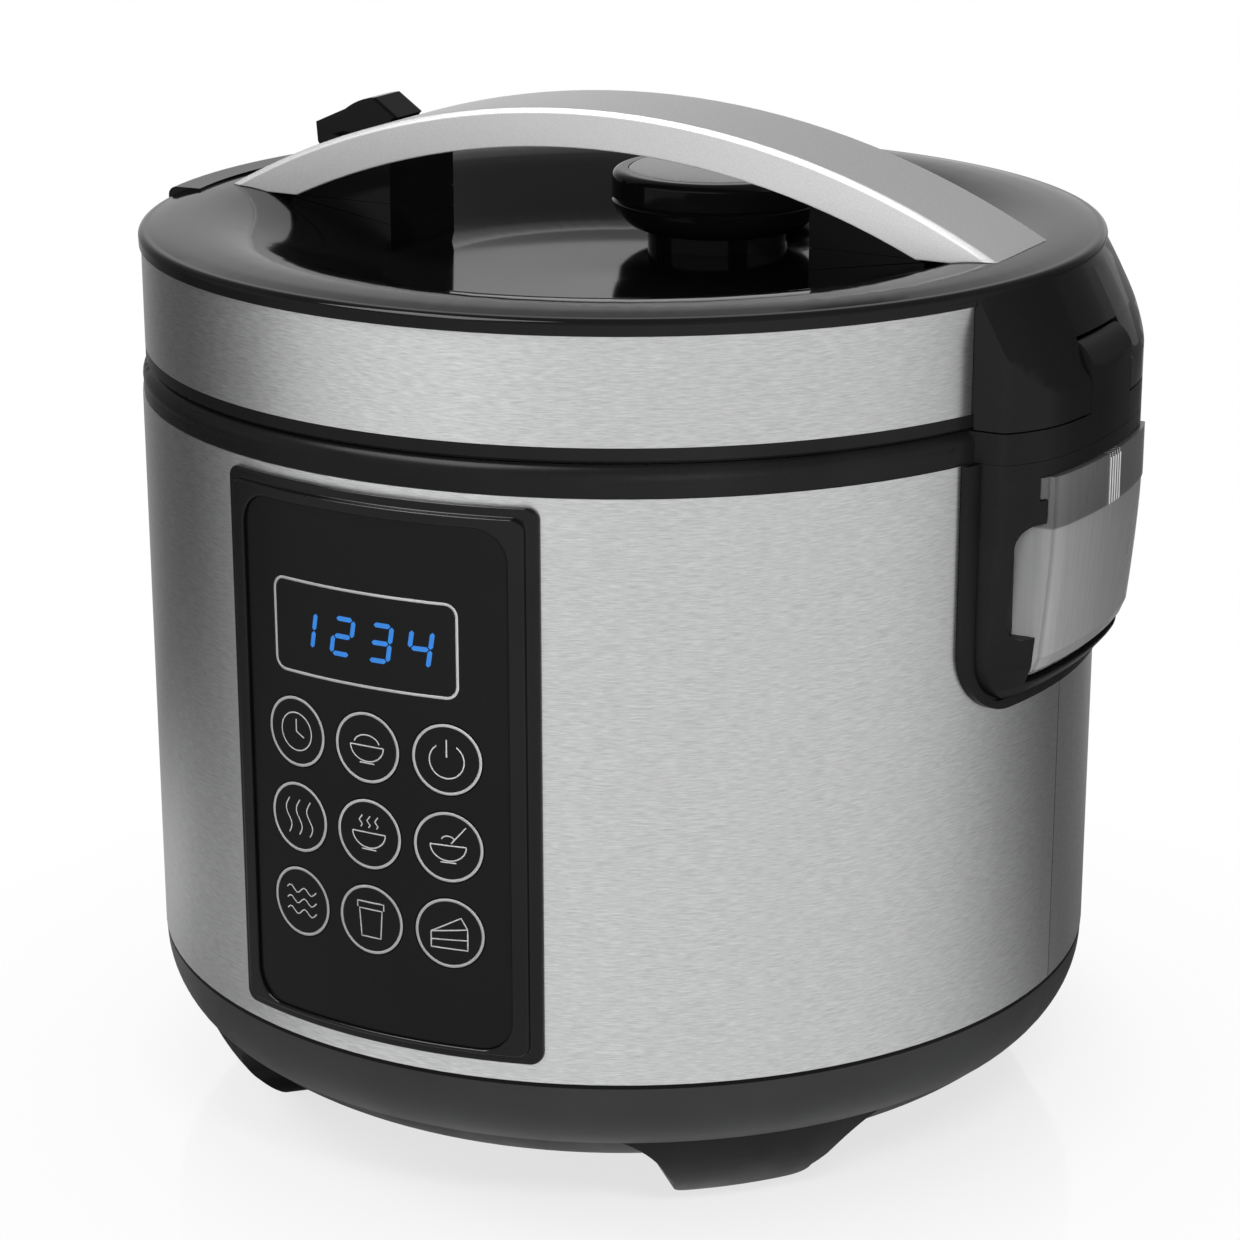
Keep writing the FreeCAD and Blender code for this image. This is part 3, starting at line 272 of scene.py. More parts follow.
# Upper rim: the black moulding over the steel, with the hinge band and the hinge post in one piece with it.
# The rim, the hinge housing below the post and the lid's lower ring are moulded in the same satin black,
# which is glossier than the bottom cover's.
rim_plastic = moulded("rim_plastic", (0.004, 0.004, 0.0042), (0.006, 0.006, 0.0063), 0.24, 0.32,
                      0.4 * MM, 0.003 * MM, gloss=0.11)
dress(rim_plastic, "upper_rim", "hinge_housing", "lid_lower_ring")

# Control panel: a stepped black frame on the curve of the body, round a glossy black face.
# The frame is moulded, with its edges rounded, and clipped into the steel's window.
# The face is a hard-coated film that is a little bluer.
FRAME_EDGE = 0.52 * MM
MERGE_GAP = 0.002 * MM
frame_plastic = moulded("frame_plastic", (0.003, 0.003, 0.0032), (0.0045, 0.0045, 0.0048), 0.11, 0.16,
                        0.5 * MM, 0.002 * MM, gloss=0.2)


def softened(name, node, finish, body, width):
    """A node's own form with its sharp edges rounded off a little, standing for the node."""
    form = bmesh.new()
    form.from_mesh(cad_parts[node].data)
    bmesh.ops.remove_doubles(form, verts=form.verts, dist=MERGE_GAP)
    bmesh.ops.dissolve_limit(form, angle_limit=math.radians(0.5), verts=form.verts, edges=form.edges)
    piece = piece_of(name, form, finish)
    piece.data.shade_smooth()
    edge_round = piece.modifiers.new("edge_round", "BEVEL")
    edge_round.width = width
    edge_round.segments = 3
    edge_round.limit_method = "ANGLE"
    edge_round.angle_limit = math.radians(35)
    edge_round.use_clamp_overlap = False
    facing = piece.modifiers.new("facing", "WEIGHTED_NORMAL")
    facing.mode = "FACE_AREA"
    facing.weight = 80
    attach(piece, body)
    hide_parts(node)


softened("panel_frame", "panel_bezel", frame_plastic, "base", FRAME_EDGE)
face_film = moulded("face_film", (0.0036, 0.0036, 0.004), (0.0046, 0.0046, 0.0052), 0.22, 0.28,
                    0.8 * MM, 0.0015 * MM, patch=0.05, gloss=0.12)
dress(face_film, "panel_film")
for n in range(9):
    dress(face_film, "key_%d" % (n + 1))

# Printed lines of the panel: the ring round each key, its sign, and the frame of the display.
# They are screen-printed in light grey, a few hundredths of a millimetre thick.
FACE_R = 127.3 * MM
INK_LIFT = 0.02 * MM
LINE_W = 0.8 * MM
SIGN_W = 0.36 * MM
line_ink = moulded("line_ink", (0.27, 0.27, 0.275), (0.34, 0.34, 0.345), 0.45, 0.6, 0.3 * MM, 0.002 * MM)
sign_ink = moulded("sign_ink", (0.38, 0.38, 0.385), (0.47, 0.47, 0.475), 0.45, 0.6, 0.3 * MM, 0.002 * MM)


def arc_points(x, z, r, start, end, count=25, squeeze=1.0):
    """Points of an arc, in millimetres on the flat face."""
    turns = [math.radians(start + (end - start) * n / (count - 1)) for n in range(count)]
    return [(x + r * math.cos(t), z + r * squeeze * math.sin(t)) for t in turns]


def line_points(*corners, step=1.5):
    """Points along straight runs, in millimetres on the flat face."""
    points = [corners[0]]
    for a, b in zip(corners, corners[1:]):
        count = max(1, round(math.dist(a, b) / step))
        for n in range(1, count + 1):
            points.append((a[0] + (b[0] - a[0]) * n / count, a[1] + (b[1] - a[1]) * n / count))
    return points


def printed(name, strokes, width, ink):
    """Flat printed lines, laid round the curve of the face."""
    curve = bpy.data.curves.new(name, "CURVE")
    curve.dimensions = "3D"
    curve.bevel_depth = width / 2
    curve.bevel_resolution = 1
    for points in strokes:
        closed = math.dist(points[0], points[-1]) < 1e-6
        run = points[:-1] if closed else points
        spline = curve.splines.new("POLY")
        spline.points.add(len(run) - 1)
        for point, (x, z) in zip(spline.points, run):
            point.co = (x * MM, 0, z * MM, 1)
        spline.use_cyclic_u = closed
    curve.use_fill_caps = True
    draft = bpy.data.objects.new(name, curve)
    bpy.context.collection.objects.link(draft)
    bpy.context.view_layer.update()
    mesh = bpy.data.meshes.new_from_object(draft.evaluated_get(bpy.context.evaluated_depsgraph_get()))
    bpy.data.objects.remove(draft)
    piece = bpy.data.objects.new(name, mesh)
    bpy.context.collection.objects.link(piece)
    lay_on_face(mesh)
    mesh.materials.append(ink)
    return piece


def lay_on_face(mesh, flatten=0.08):
    """Bends a flat drawing round the panel's face, and flattens it to a print's thickness."""
    for vertex in mesh.vertices:
        turn = vertex.co.x / FACE_R
        reach = FACE_R + INK_LIFT - vertex.co.y * flatten
        vertex.co = pot_axis + Vector((reach * math.sin(turn), -reach * math.cos(turn), vertex.co.z))
    mesh.update()


WINDOW_X = -1.3
WINDOW_Z = 151.9
WINDOW_HALF = 25.6
WINDOW_RISE = 11.5
WINDOW_CORNER = 3.0
bend_x = WINDOW_HALF - WINDOW_CORNER
bend_z = WINDOW_RISE - WINDOW_CORNER
window_line = line_points((-bend_x, -WINDOW_RISE), (bend_x, -WINDOW_RISE))
window_line += arc_points(bend_x, -bend_z, WINDOW_CORNER, -90, 0, 8)
window_line += arc_points(bend_x, bend_z, WINDOW_CORNER, 0, 90, 8)
window_line += line_points((bend_x, WINDOW_RISE), (-bend_x, WINDOW_RISE))
window_line += arc_points(-bend_x, bend_z, WINDOW_CORNER, 90, 180, 8)
window_line += arc_points(-bend_x, -bend_z, WINDOW_CORNER, 180, 270, 8)
window_line = [(x + WINDOW_X, z + WINDOW_Z) for x, z in window_line]
window_frame = printed("display_line", [window_line], LINE_W, line_ink)
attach(window_frame, "base")

KEY_RING = 8.5
KEY_PITCH = 21.2
KEY_ROWS = (125.1, 103.1, 81.1)
bowl = [line_points((-4.6, 0.4), (4.6, 0.4)), arc_points(0, 0.4, 4.6, 180, 360, 21, 0.85),
        line_points((-2, -3.9), (2, -3.9))]
key_signs = (
    [arc_points(0, 0, 4.8, 0, 360, 33), line_points((0, 3.2), (0, 0), (2.4, -1.2))],
    bowl + [arc_points(0, 0.5, 3.6, 15, 165, 15, 0.75)],
    [arc_points(0, -0.3, 4.4, 125, 415, 31), line_points((0, 5.0), (0, 0.6))],
    [[(x + 0.9 * math.sin(t * 0.75), -4.5 + t) for t in range(10)] for x in (-3.4, 0, 3.4)],
    bowl + [[(x + 0.45 * math.sin(t * 1.6), 1.7 + t * 0.6) for t in range(6)] for x in (-2.2, 0, 2.2)],
    bowl + [line_points((0.8, 1.0), (4.6, 5.4)), arc_points(0, 1.3, 1.9, 25, 155, 9, 0.8)],
    [[(-4.8 + t * 0.8, z + 0.8 * math.sin(t * 1.1)) for t in range(13)] for z in (-2.8, 0, 2.8)],
    [line_points((-3.2, 2.6), (-2.7, -4.6), (2.7, -4.6), (3.2, 2.6), (-3.2, 2.6)),
     line_points((-3.7, 2.8), (-3.7, 4.4), (3.7, 4.4), (3.7, 2.8))],
    [line_points((-4.8, -4), (4.6, -4), (4.6, 1.4), (-4.8, 0), (-4.8, -4)),
     line_points((-4.8, 0), (3, 4.2), (4.6, 1.4)), line_points((-4.8, -2), (4.6, -1.4))],
)
for n, sign in enumerate(key_signs):
    across = KEY_PITCH * (n % 3 - 1)
    up = KEY_ROWS[n // 3]
    ring_line = [(x + across, z + up) for x, z in arc_points(0, 0, KEY_RING, 0, 360, 65)]
    sign_lines = [[(x + across, z + up) for x, z in stroke] for stroke in sign]
    key_ring = printed("key_ring_%d" % (n + 1), [ring_line], LINE_W, line_ink)
    key_sign = printed("key_sign_%d" % (n + 1), sign_lines, SIGN_W, sign_ink)
    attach(key_ring, "key%d" % (n + 1))
    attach(key_sign, "key%d" % (n + 1))

# Display: four slanted digits of seven bars each, lit blue behind the dark face.
# Unlit bars can't be seen, so only the lit ones are made.
# They are laid on the face, because the film over them lets no light through here.
DIGIT_H = 10.0
DIGIT_W = 5.3
BAR_W = 1.2
BAR_T = 0.3
BAR_GAP = 0.75 * BAR_W
BAR_TIP = 0.42 * BAR_W
SLANT = math.tan(math.radians(9))
digit_light, digit_tree, digit_shader = new_finish("digit_light")
tinted(digit_tree, digit_shader, grain(digit_tree, 1.2 * MM), (0.004, 0.02, 0.07), (0.005, 0.03, 0.09))
glow = digit_tree.nodes.new("ShaderNodeValToRGB")
glow.color_ramp.elements[0].color = (0.006, 0.13, 0.46, 1)
glow.color_ramp.elements[1].color = (0.016, 0.23, 0.72, 1)
digit_tree.links.new(grain(digit_tree, 1.5 * MM), glow.inputs["Fac"])
digit_tree.links.new(glow.outputs["Color"], digit_shader.inputs["Emission Color"])
digit_shader.inputs["Emission Strength"].default_value = 1.0
bars = {"top": (0, 1, 0), "middle": (0, 0, 0), "bottom": (0, -1, 0), "right_top": (1, 0.5, 1),
        "right_bottom": (1, -0.5, 1), "left_top": (-1, 0.5, 1), "left_bottom": (-1, -0.5, 1)}
lit = (("right_top", "right_bottom"),
       ("top", "right_top", "middle", "left_bottom", "bottom"),
       ("top", "right_top", "middle", "right_bottom", "bottom"),
       ("left_top", "right_top", "middle", "right_bottom"))
digit_places = (-17.2, -6.1, 4.4, 14.95)
DIGIT_Z = WINDOW_Z - 0.1
DIGIT_FLATTEN = 0.1
digit_mesh = bmesh.new()
for place, names in zip(digit_places, lit):
    for name in names:
        side, level, standing = bars[name]
        length = (DIGIT_H / 2 if standing else DIGIT_W) - BAR_GAP
        made = bmesh.ops.create_cube(digit_mesh, size=1)["verts"]
        size = (BAR_W, BAR_T, length) if standing else (length, BAR_T, BAR_W)
        bmesh.ops.scale(digit_mesh, vec=size, verts=made)
        deep = [e for e in {e for v in made for e in v.link_edges}
                if abs(e.verts[0].co.y - e.verts[1].co.y) > BAR_T / 2]
        cut = bmesh.ops.bevel(digit_mesh, geom=deep, offset=BAR_TIP, segments=1, profile=0.5,
                              affect="EDGES", material=-1)
        bar = {v for f in cut["faces"] for v in f.verts}
        bar_place = (side * DIGIT_W / 2, 0, level * (DIGIT_H - BAR_W) / 2)
        bmesh.ops.translate(digit_mesh, vec=bar_place, verts=list(bar))
        for v in bar:
            v.co.x += v.co.z * SLANT + place
            v.co.z += DIGIT_Z
bmesh.ops.scale(digit_mesh, vec=(MM, MM, MM), verts=digit_mesh.verts)
digits = piece_of("display_digits", digit_mesh, digit_light)
lay_on_face(digits.data, DIGIT_FLATTEN)
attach(digits, "base")

# Display block and control board, behind the face.
# The block is black plastic; the board is green glass-fibre laminate with printed tracks.
block_plastic = moulded("block_plastic", (0.02, 0.02, 0.022), (0.03, 0.03, 0.032), 0.4, 0.5,
                        0.4 * MM, 0.004 * MM)
dress(block_plastic, "display_module")
board_mask = moulded("board_mask", (0.01, 0.09, 0.04), (0.02, 0.17, 0.07), 0.3, 0.4,
                     1.5 * MM, 0.01 * MM, patch=0.004)
dress(board_mask, "control_board")

# Hinge pin, and the dew cup in the hinge housing, which is pulled out to be emptied.
# The pin is ground steel. The cup is moulded in clear smoke-grey plastic, about 1.6 mm thick,
# with a darker brow at its top that has a few upright ribs.
pin_steel = brushed("pin_steel", (0.6, 0.6, 0.6), 6 * MM, 0.3 * MM)
dress(pin_steel, "hinge_pin")
cup_low, cup_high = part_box("dew_cup")
BROW_H = 13 * MM
BROW_BLEND = 0.006
RIB_PITCH = 1.6 * MM
RIB_SPAN = 4.2 * MM
RIB_SHIFT = 0.15 * MM
SIDE_START = 28.5 * MM
SIDE_BLEND = 1.5 * MM
FLOW_W = 1.2 * MM
FLOW_LENGTH = 70 * MM


def product(tree, a, b):
    """Two values multiplied."""
    times = tree.nodes.new("ShaderNodeMath")
    times.operation = "MULTIPLY"
    tree.links.new(a, times.inputs[0])
    tree.links.new(b, times.inputs[1])
    return times.outputs["Value"]


cup_smoke, cup_tree, cup_shader = new_finish("cup_smoke")
cup_where = cup_tree.nodes.new("ShaderNodeTexCoord")
cup_place = cup_tree.nodes.new("ShaderNodeSeparateXYZ")
cup_tree.links.new(cup_where.outputs["Object"], cup_place.inputs["Vector"])
cup_rise = between(cup_tree, cup_place.outputs["Z"], cup_low[2], cup_high[2])
# Below the brow the smoke colour is painted lighter towards the bottom: a painted reflection. The brow above
# it is darker.
cup_tint = cup_tree.nodes.new("ShaderNodeValToRGB")
brow_start = 1 - BROW_H / (cup_high[2] - cup_low[2])
cup_stops = cup_tint.color_ramp.elements
cup_stops[0].position = 0.0
cup_stops[0].color = (0.37, 0.37, 0.374, 1)
cup_stops[1].position = 1.0
cup_stops[1].color = (0.12, 0.12, 0.123, 1)
cup_stops.new(brow_start - BROW_BLEND).color = (0.29, 0.29, 0.293, 1)
cup_stops.new(brow_start + BROW_BLEND).color = (0.1, 0.1, 0.102, 1)
cup_tree.links.new(cup_rise, cup_tint.inputs["Fac"])
rib_wave = cup_tree.nodes.new("ShaderNodeTexWave")
rib_wave.bands_direction = "Y"
rib_wave.inputs["Scale"].default_value = WAVE_LENGTH / RIB_PITCH
rib_wave.inputs["Phase Offset"].default_value = math.pi - (pot_axis.y - RIB_SHIFT) * math.tau / RIB_PITCH
cup_tree.links.new(cup_where.outputs["Object"], rib_wave.inputs["Vector"])
rib_off = cup_tree.nodes.new("ShaderNodeMath")
rib_off.operation = "SUBTRACT"
rib_off.inputs[1].default_value = pot_axis.y
rib_out = cup_tree.nodes.new("ShaderNodeMath")
rib_out.operation = "ABSOLUTE"
cup_tree.links.new(cup_place.outputs["Y"], rib_off.inputs[0])
cup_tree.links.new(rib_off.outputs["Value"], rib_out.inputs[0])
rib_field = product(cup_tree, between(cup_tree, rib_out.outputs["Value"], RIB_SPAN, RIB_SPAN - 0.1 * MM),
                    between(cup_tree, cup_rise, brow_start, brow_start + 0.01))
# Painted highlight: each rib's crest on the brow gets a pale stripe.
painted_rib_highlight = product(cup_tree, between(cup_tree, rib_wave.outputs["Fac"], 0.82, 0.97), rib_field)
cup_mix = cup_tree.nodes.new("ShaderNodeMix")
cup_mix.data_type = "RGBA"
cup_mix.inputs["B"].default_value = (0.7, 0.7, 0.71, 1)
cup_tree.links.new(painted_rib_highlight, cup_mix.inputs["Factor"])
cup_tree.links.new(cup_tint.outputs["Color"], cup_mix.inputs["A"])
# Painted shade darkens the cup's sides away from its middle. Fine flow lines wander over the whole cup.
painted_side_shade = between(cup_tree, rib_out.outputs["Value"], SIDE_START, SIDE_START + SIDE_BLEND, 1.0, 0.6)
flow_lines = grain(cup_tree, 1.0, 2.0, (1 / FLOW_W, 1 / FLOW_W, 1 / FLOW_LENGTH))
cup_flow_and_painted_shade = product(cup_tree, painted_side_shade, between(cup_tree, flow_lines, 0.35, 0.68, 0.95, 1.04))
cup_toned = cup_tree.nodes.new("ShaderNodeMix")
cup_toned.data_type = "RGBA"
cup_toned.blend_type = "MULTIPLY"
cup_toned.inputs["Factor"].default_value = 1.0
cup_tree.links.new(cup_mix.outputs["Result"], cup_toned.inputs["A"])
cup_tree.links.new(cup_flow_and_painted_shade, cup_toned.inputs["B"])
cup_tree.links.new(cup_toned.outputs["Result"], cup_shader.inputs["Base Color"])
polished(cup_tree, cup_shader, grain(cup_tree, 6 * MM), 0.16, 0.26)
embossed(cup_tree, cup_shader, grain(cup_tree, 0.8 * MM), 0.003 * MM)
cup_shader.inputs["Transmission Weight"].default_value = 0.3
cup_shader.inputs["IOR"].default_value = 1.49
dress(cup_smoke, "dew_cup")

# Power inlet at the back: a black moulded socket with three flat pins.
# The pins are nickel-plated brass, seen inside the socket.
inlet_plastic = moulded("inlet_plastic", (0.013, 0.013, 0.014), (0.02, 0.02, 0.021), 0.35, 0.45,
                        0.4 * MM, 0.008 * MM)
dress(inlet_plastic, "power_inlet")
inlet_low, inlet_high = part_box("power_inlet")
PIN_SIZE = (2.3 * MM, 4.1 * MM, 10.5 * MM)
PIN_CORNER = 0.3 * MM
PIN_TIP = 0.5 * MM
PIN_PITCH = 6.84 * MM
PIN_SUNK = 3.9 * MM
PIN_RISE = 5.1 * MM
pin_nickel = brushed("pin_nickel", (0.62, 0.6, 0.56), 3 * MM, 0.2 * MM)
for n in range(3):
    pin = rounded_block("inlet_pin_%d" % (n + 1), PIN_SIZE, PIN_CORNER, PIN_TIP, 0, (0, 0, 0), pin_nickel)
    pin.data.transform(Matrix.Rotation(math.radians(90), 4, "X"))
    pin_place = ((inlet_low[0] + inlet_high[0]) / 2 + (n - 1) * PIN_PITCH,
                 inlet_high[1] - PIN_SUNK - PIN_SIZE[2] / 2,
                 (inlet_low[2] + inlet_high[2]) / 2 + PIN_RISE)
    pin.data.transform(Matrix.Translation(pin_place))
    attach(pin, "base")

# Inner lid and its seal, seen when the lid is open.
# The inner lid is turned from satin aluminium sheet, and the seal round it is pale moulded silicone.
inner_alloy = turned_metal("inner_alloy", (0.72, 0.72, 0.73), 1.2 * MM, pot_axis)
dress(inner_alloy, "inner_lid")
seal_silicone = moulded("seal_silicone", (0.55, 0.55, 0.53), (0.64, 0.64, 0.62), 0.45, 0.6,
                        0.5 * MM, 0.01 * MM)
dress(seal_silicone, "lid_gasket")

# Lid band: the same brushed sheet as the body's, bent round the lid.
# It is held between the lid's top and the lower ring.
dress(body_steel, "lid_band")

# Lid top: one polished black moulding, with the dish, the latch hood, the hinge leaves and the round edge.
# It mirrors the handle and the vent. The handle's core and spacers, the vent, the lever and the latch
# are moulded in the same black.
lid_gloss = moulded("lid_gloss", (0.0036, 0.0036, 0.0038), (0.005, 0.005, 0.0053), 0.06, 0.1,
                    3 * MM, 0.0008 * MM, patch=0.06, gloss=0.14)
dress(lid_gloss, "handle_core", "handle_spacer_left", "handle_spacer_right", "vent_cap", "vent_seat",
      "release_lever", "latch_bolt")
POST_X = 121 * MM
POST_Y = 19 * MM
POST_CREASE = math.radians(12)
LID_CREASE = math.radians(34)
lid_mesh = bmesh.new()
lid_mesh.from_mesh(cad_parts["lid_top"].data)
bmesh.ops.remove_doubles(lid_mesh, verts=lid_mesh.verts, dist=MERGE_GAP)
for face in lid_mesh.faces:
    face.smooth = True
for edge in lid_mesh.edges:
    middle = (edge.verts[0].co + edge.verts[1].co) / 2 - pot_axis
    by_post = middle.x > POST_X and abs(middle.y) < POST_Y
    edge.smooth = edge.calc_face_angle(0.0) < (POST_CREASE if by_post else LID_CREASE)
lid_moulding = piece_of("lid_moulding", lid_mesh, lid_gloss)
lid_facing = lid_moulding.modifiers.new("facing", "WEIGHTED_NORMAL")
lid_facing.mode = "FACE_AREA"
lid_facing.weight = 80
lid_facing.keep_sharp = True
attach(lid_moulding, "lid")
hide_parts("lid_top")
EDGE_MID = (122.78, 229.57)
EDGE_ROUND = 1.765
EDGE_INSIDE = 121.4
EDGE_OUTSIDE = 124.53
EDGE_UNDER = 229.3
EDGE_TOP = 231.49
edge_section = [(EDGE_INSIDE, EDGE_TOP)] + arc_points(*EDGE_MID, EDGE_ROUND, 90, 7, 15)
edge_section += [(EDGE_OUTSIDE, EDGE_UNDER), (EDGE_INSIDE, EDGE_UNDER)]
lid_edge = spun("lid_edge", [(r * MM, z * MM) for r, z in edge_section], lid_gloss, 360)
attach(lid_edge, "lid")

# Handle: a silver-painted arch over a black core, moulded with a softly rounded edge.
# The paint holds fine metal flakes under a thin clear coat. The disc on the vent has a darker shade of it.
HANDLE_EDGE = 0.35 * MM


def flaked(name, dark, light):
    """Silver paint: metal flakes that differ in shade and tilt, under a thin clear coat."""
    finish, tree, shader = new_finish(name)
    tinted(tree, shader, grain(tree, 0.35 * MM, 2.0), dark, light)
    polished(tree, shader, grain(tree, 0.5 * MM), 0.38, 0.5)
    embossed(tree, shader, grain(tree, 0.3 * MM), 0.008 * MM)
    shader.inputs["Metallic"].default_value = 0.5
    shader.inputs["Coat Weight"].default_value = 0.15
    shader.inputs["Coat Roughness"].default_value = 0.3
    return finish


handle_silver = flaked("handle_silver", (0.53, 0.53, 0.535), (0.64, 0.64, 0.645))
softened("handle_arch", "handle_shell", handle_silver, "lid", HANDLE_EDGE)
disc_silver = flaked("disc_silver", (0.36, 0.36, 0.365), (0.45, 0.45, 0.455))
dress(disc_silver, "vent_disc")

# Studio: a pale floor that runs into white away from the object, in a white room with darker walls at
# both sides. A large soft box hangs at the left, a small one lights the hinge, and one over the front
# gives the polished edges their lights.
CAMERA_TURN = math.radians(28.65)
WHITE_TURN = CAMERA_TURN - math.radians(5)
FLOOR_TURN = WHITE_TURN + math.radians(6)
FLOOR_R = 6.0
floor_mesh = bmesh.new()
bmesh.ops.create_circle(floor_mesh, cap_ends=True, segments=96, radius=FLOOR_R)
floor_finish, floor_tree, floor_shader = new_finish("floor_white")
floor = piece_of("floor", floor_mesh, floor_finish)
tinted(floor_tree, floor_shader, grain(floor_tree, 0.2), (0.93, 0.93, 0.93), (0.95, 0.95, 0.95))
floor_shader.inputs["Roughness"].default_value = 0.1
floor_shader.inputs["Specular IOR Level"].default_value = 0.5


def wall_shade(tree, where, white_turn, dim=1.0):
    """Shade of the studio by direction: white before the object, dark at both sides and pale behind it.
    The sides and the back are multiplied by dim."""
    level = tree.nodes.new("ShaderNodeVectorMath")
    level.operation = "MULTIPLY"
    level.inputs[1].default_value = (1, 1, 0)
    unit = tree.nodes.new("ShaderNodeVectorMath")
    unit.operation = "NORMALIZE"
    turn = tree.nodes.new("ShaderNodeVectorMath")
    turn.operation = "DOT_PRODUCT"
    turn.inputs[1].default_value = (math.sin(white_turn), -math.cos(white_turn), 0)
    walls = tree.nodes.new("ShaderNodeValToRGB")
    stops = walls.color_ramp.elements
    stops[0].position = 0.02
    stops[0].color = (0.75 * dim, 0.75 * dim, 0.75 * dim, 1)
    stops[1].position = 1.0
    stops[1].color = (0.93, 0.93, 0.93, 1)
    for place, shade in ((0.07, 0.4), (0.13, 0.2), (0.25, 0.13), (0.33, 0.22), (0.45, 0.45)):
        stops.new(place).color = (shade * dim, shade * dim, shade * dim, 1)
    for place, shade in ((0.58, 0.7), (0.72, 0.85)):
        stops.new(place).color = (shade, shade, shade, 1)
    tree.links.new(where, level.inputs[0])
    tree.links.new(level.outputs["Vector"], unit.inputs[0])
    tree.links.new(unit.outputs["Vector"], turn.inputs[0])
    tree.links.new(between(tree, turn.outputs["Value"], -1, 1), walls.inputs["Fac"])
    return walls.outputs["Color"]


def mixed(tree, fac, first, second):
    """Two shaders mixed."""
    mix = tree.nodes.new("ShaderNodeMixShader")
    tree.links.new(fac, mix.inputs["Fac"])
    tree.links.new(first, mix.inputs[1])
    tree.links.new(second, mix.inputs[2])
    return mix.outputs["Shader"]


link = floor_tree.links.new
floor_where = floor_tree.nodes.new("ShaderNodeTexCoord")
floor_length = floor_tree.nodes.new("ShaderNodeVectorMath")
floor_length.operation = "LENGTH"
link(floor_where.outputs["Object"], floor_length.inputs[0])
floor_reach = floor_length.outputs["Value"]
floor_rays = floor_tree.nodes.new("ShaderNodeLightPath")

# The floor itself takes the object's shadow and mirrors its feet faintly.
# It runs into white a few centimetres away from them.
SHADOW_START = 0.09
SHADOW_END = 0.165
SHADOW_WHITE = 0.79
SHINE_START = 0.1
SHINE_END = 0.25
SHINE = 0.075
floor_glow = floor_tree.nodes.new("ShaderNodeEmission")
floor_glow.inputs["Color"].default_value = (1, 1, 1, 1)
floor_gloss = floor_tree.nodes.new("ShaderNodeBsdfGlossy")
floor_gloss.inputs["Roughness"].default_value = 0.06
floor_fade = between(floor_tree, floor_reach, SHADOW_START, SHADOW_END, SHADOW_WHITE, 1.0)
floor_fade.node.interpolation_type = "SMOOTHSTEP"
floor_far = mixed(floor_tree, floor_fade, floor_shader.outputs["BSDF"], floor_glow.outputs["Emission"])
floor_shine = between(floor_tree, floor_reach, SHINE_START, SHINE_END, SHINE, 0.0)
floor_wet = mixed(floor_tree, floor_shine, floor_far, floor_gloss.outputs["BSDF"])

# In the object's reflections the floor shows painted shades of the walls, dimmer further away.
# A painted pool of light lies on it at the left.
MIRROR_STEP = 0.08
FAR_START = 0.3
FAR_END = 0.75
FAR_DIM = 0.62
POOL_LEFT = 0.23
POOL_BACK = 0.1
POOL_CORE = 0.03
POOL_EDGE = 0.16
POOL_LIGHT = 0.42
across_view = Vector((math.cos(CAMERA_TURN), math.sin(CAMERA_TURN), 0))
behind_view = Vector((-math.sin(CAMERA_TURN), math.cos(CAMERA_TURN), 0))
floor_move = floor_tree.nodes.new("ShaderNodeMapping")
floor_move.inputs["Location"].default_value = behind_view * MIRROR_STEP - pot_axis
link(floor_where.outputs["Object"], floor_move.inputs["Vector"])
floor_shade = floor_tree.nodes.new("ShaderNodeMix")
floor_shade.data_type = "RGBA"
link(between(floor_tree, floor_reach, FAR_START, FAR_END), floor_shade.inputs["Factor"])
link(wall_shade(floor_tree, floor_move.outputs["Vector"], FLOOR_TURN), floor_shade.inputs["A"])
link(wall_shade(floor_tree, floor_move.outputs["Vector"], FLOOR_TURN, FAR_DIM), floor_shade.inputs["B"])
pool_move = floor_tree.nodes.new("ShaderNodeMapping")
pool_move.inputs["Location"].default_value = across_view * POOL_LEFT - behind_view * POOL_BACK - pot_axis
link(floor_where.outputs["Object"], pool_move.inputs["Vector"])
pool_reach = floor_tree.nodes.new("ShaderNodeVectorMath")
pool_reach.operation = "LENGTH"
link(pool_move.outputs["Vector"], pool_reach.inputs[0])
pool = floor_tree.nodes.new("ShaderNodeMix")
pool.data_type = "RGBA"
pool.blend_type = "ADD"
pool.inputs["B"].default_value = (1, 1, 1, 1)
pool_light = between(floor_tree, pool_reach.outputs["Value"], POOL_CORE, POOL_EDGE, POOL_LIGHT, 0.0)
link(pool_light, pool.inputs["Factor"])
link(floor_shade.outputs["Result"], pool.inputs["A"])
floor_mirrored = floor_tree.nodes.new("ShaderNodeEmission")
link(pool.outputs["Result"], floor_mirrored.inputs["Color"])
mirrored_rays = floor_tree.nodes.new("ShaderNodeMath")
mirrored_rays.operation = "MAXIMUM"
link(floor_rays.outputs["Is Glossy Ray"], mirrored_rays.inputs[0])
link(floor_rays.outputs["Is Transmission Ray"], mirrored_rays.inputs[1])
floor_plain = mixed(floor_tree, mirrored_rays.outputs["Value"], floor_shader.outputs["BSDF"],
                    floor_mirrored.outputs["Emission"])
floor_whole = mixed(floor_tree, floor_rays.outputs["Is Camera Ray"], floor_plain, floor_wet)
link(floor_whole, floor_tree.nodes["Material Output"].inputs["Surface"])

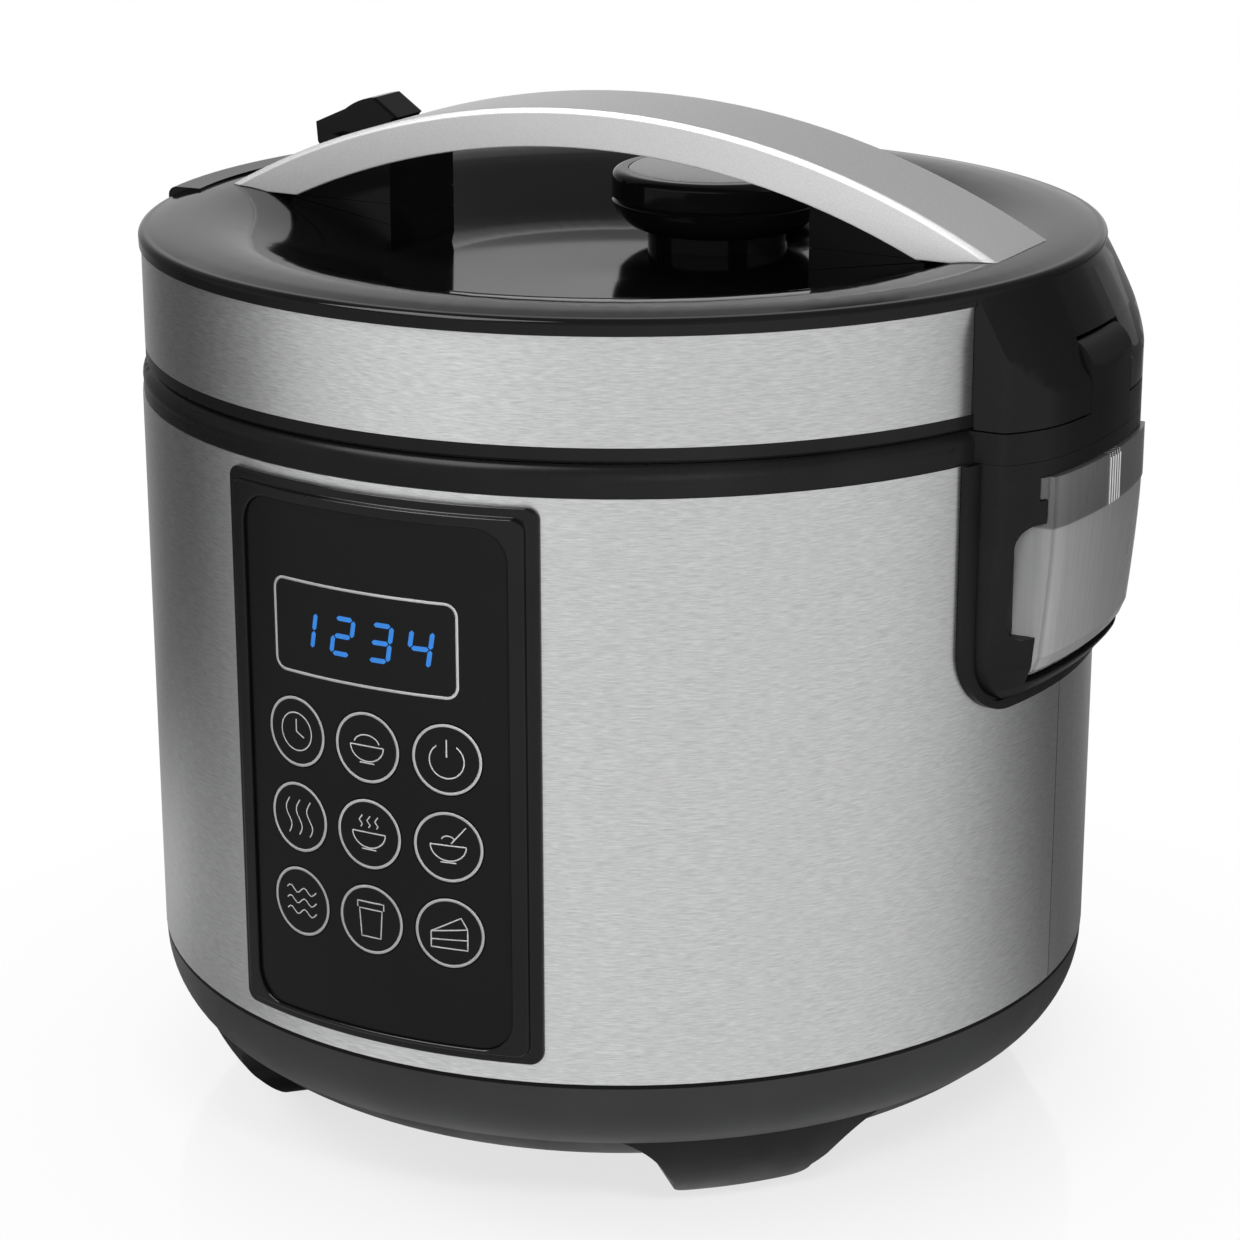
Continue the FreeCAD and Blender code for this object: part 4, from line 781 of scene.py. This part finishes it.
# The room has the walls' shades, under a grey ceiling.
# It is plain white where it is seen directly.
CEILING_START = 0.32
CEILING_END = 0.62
room = bpy.data.worlds.new("room")
bpy.context.scene.world = room
room.use_nodes = True
room_tree = room.node_tree
room_light = room_tree.nodes["Background"]
room_light.inputs["Strength"].default_value = 1.0
room_where = room_tree.nodes.new("ShaderNodeTexCoord")
room_height = room_tree.nodes.new("ShaderNodeSeparateXYZ")
room_rays = room_tree.nodes.new("ShaderNodeLightPath")
room_mix = room_tree.nodes.new("ShaderNodeMix")
room_mix.data_type = "RGBA"
room_mix.inputs["B"].default_value = (0.32, 0.32, 0.32, 1)
room_white = room_tree.nodes.new("ShaderNodeMix")
room_white.data_type = "RGBA"
room_white.inputs["B"].default_value = (1, 1, 1, 1)
link = room_tree.links.new
link(room_where.outputs["Generated"], room_height.inputs[0])
link(between(room_tree, room_height.outputs["Z"], CEILING_START, CEILING_END), room_mix.inputs["Factor"])
link(wall_shade(room_tree, room_where.outputs["Generated"], WHITE_TURN), room_mix.inputs["A"])
link(room_rays.outputs["Is Camera Ray"], room_white.inputs["Factor"])
link(room_mix.outputs["Result"], room_white.inputs["A"])
link(room_white.outputs["Result"], room_light.inputs["Color"])


def soft_box(name, place, target, width, height, power):
    """A flat lamp that faces the target."""
    lamp = bpy.data.lights.new(name, "AREA")
    lamp.shape = "RECTANGLE"
    lamp.size = width
    lamp.size_y = height
    lamp.energy = power
    holder = bpy.data.objects.new(name, lamp)
    holder.location = place
    holder.rotation_euler = (Vector(target) - Vector(place)).to_track_quat("-Z", "Y").to_euler()
    bpy.context.collection.objects.link(holder)
    return holder


BODY_MIDDLE = (0, 0, 0.2)
HINGE_PLACE = (0.1, 0, 0.24)
box_left = soft_box("box_left", (-1.35, -0.3, 0.85), BODY_MIDDLE, 0.9, 0.9, 18)
box_left.visible_glossy = False
box_right = soft_box("box_right", (0.2, -0.24, 0.232), HINGE_PLACE, 0.12, 0.08, 1.0)
box_right.visible_glossy = False
box_top = soft_box("box_top", (-0.5, -0.75, 1.5), BODY_MIDDLE, 1.0, 0.8, 30)
box_top.visible_diffuse = False

# Camera: a long lens at the photograph's place, to the right of the panel and a little above the lid.
# Its turn, rise, roll, distance and lens were fitted to the outlines of the body.
CAMERA_RISE = math.radians(17.66)
CAMERA_ROLL = math.radians(-0.083)
CAMERA_REACH = 918.21 * MM
AIM_HEIGHT = 121.22 * MM
AIM_LEFT = 0.895 * MM
camera_data = bpy.data.cameras.new("camera")
camera_data.sensor_width = 36
camera_data.lens = 99.22
camera = bpy.data.objects.new("camera", camera_data)
back = Vector((0, 0, math.sin(CAMERA_RISE))) - behind_view * math.cos(CAMERA_RISE)
aim = pot_axis + Vector((0, 0, AIM_HEIGHT)) - across_view * AIM_LEFT
camera.matrix_world = (Matrix.Translation(aim + back * CAMERA_REACH)
                       @ (-back).to_track_quat("-Z", "Y").to_matrix().to_4x4()
                       @ Matrix.Rotation(CAMERA_ROLL, 4, "Z"))
bpy.context.collection.objects.link(camera)
bpy.context.scene.camera = camera
bpy.context.scene.view_settings.view_transform = "Standard"
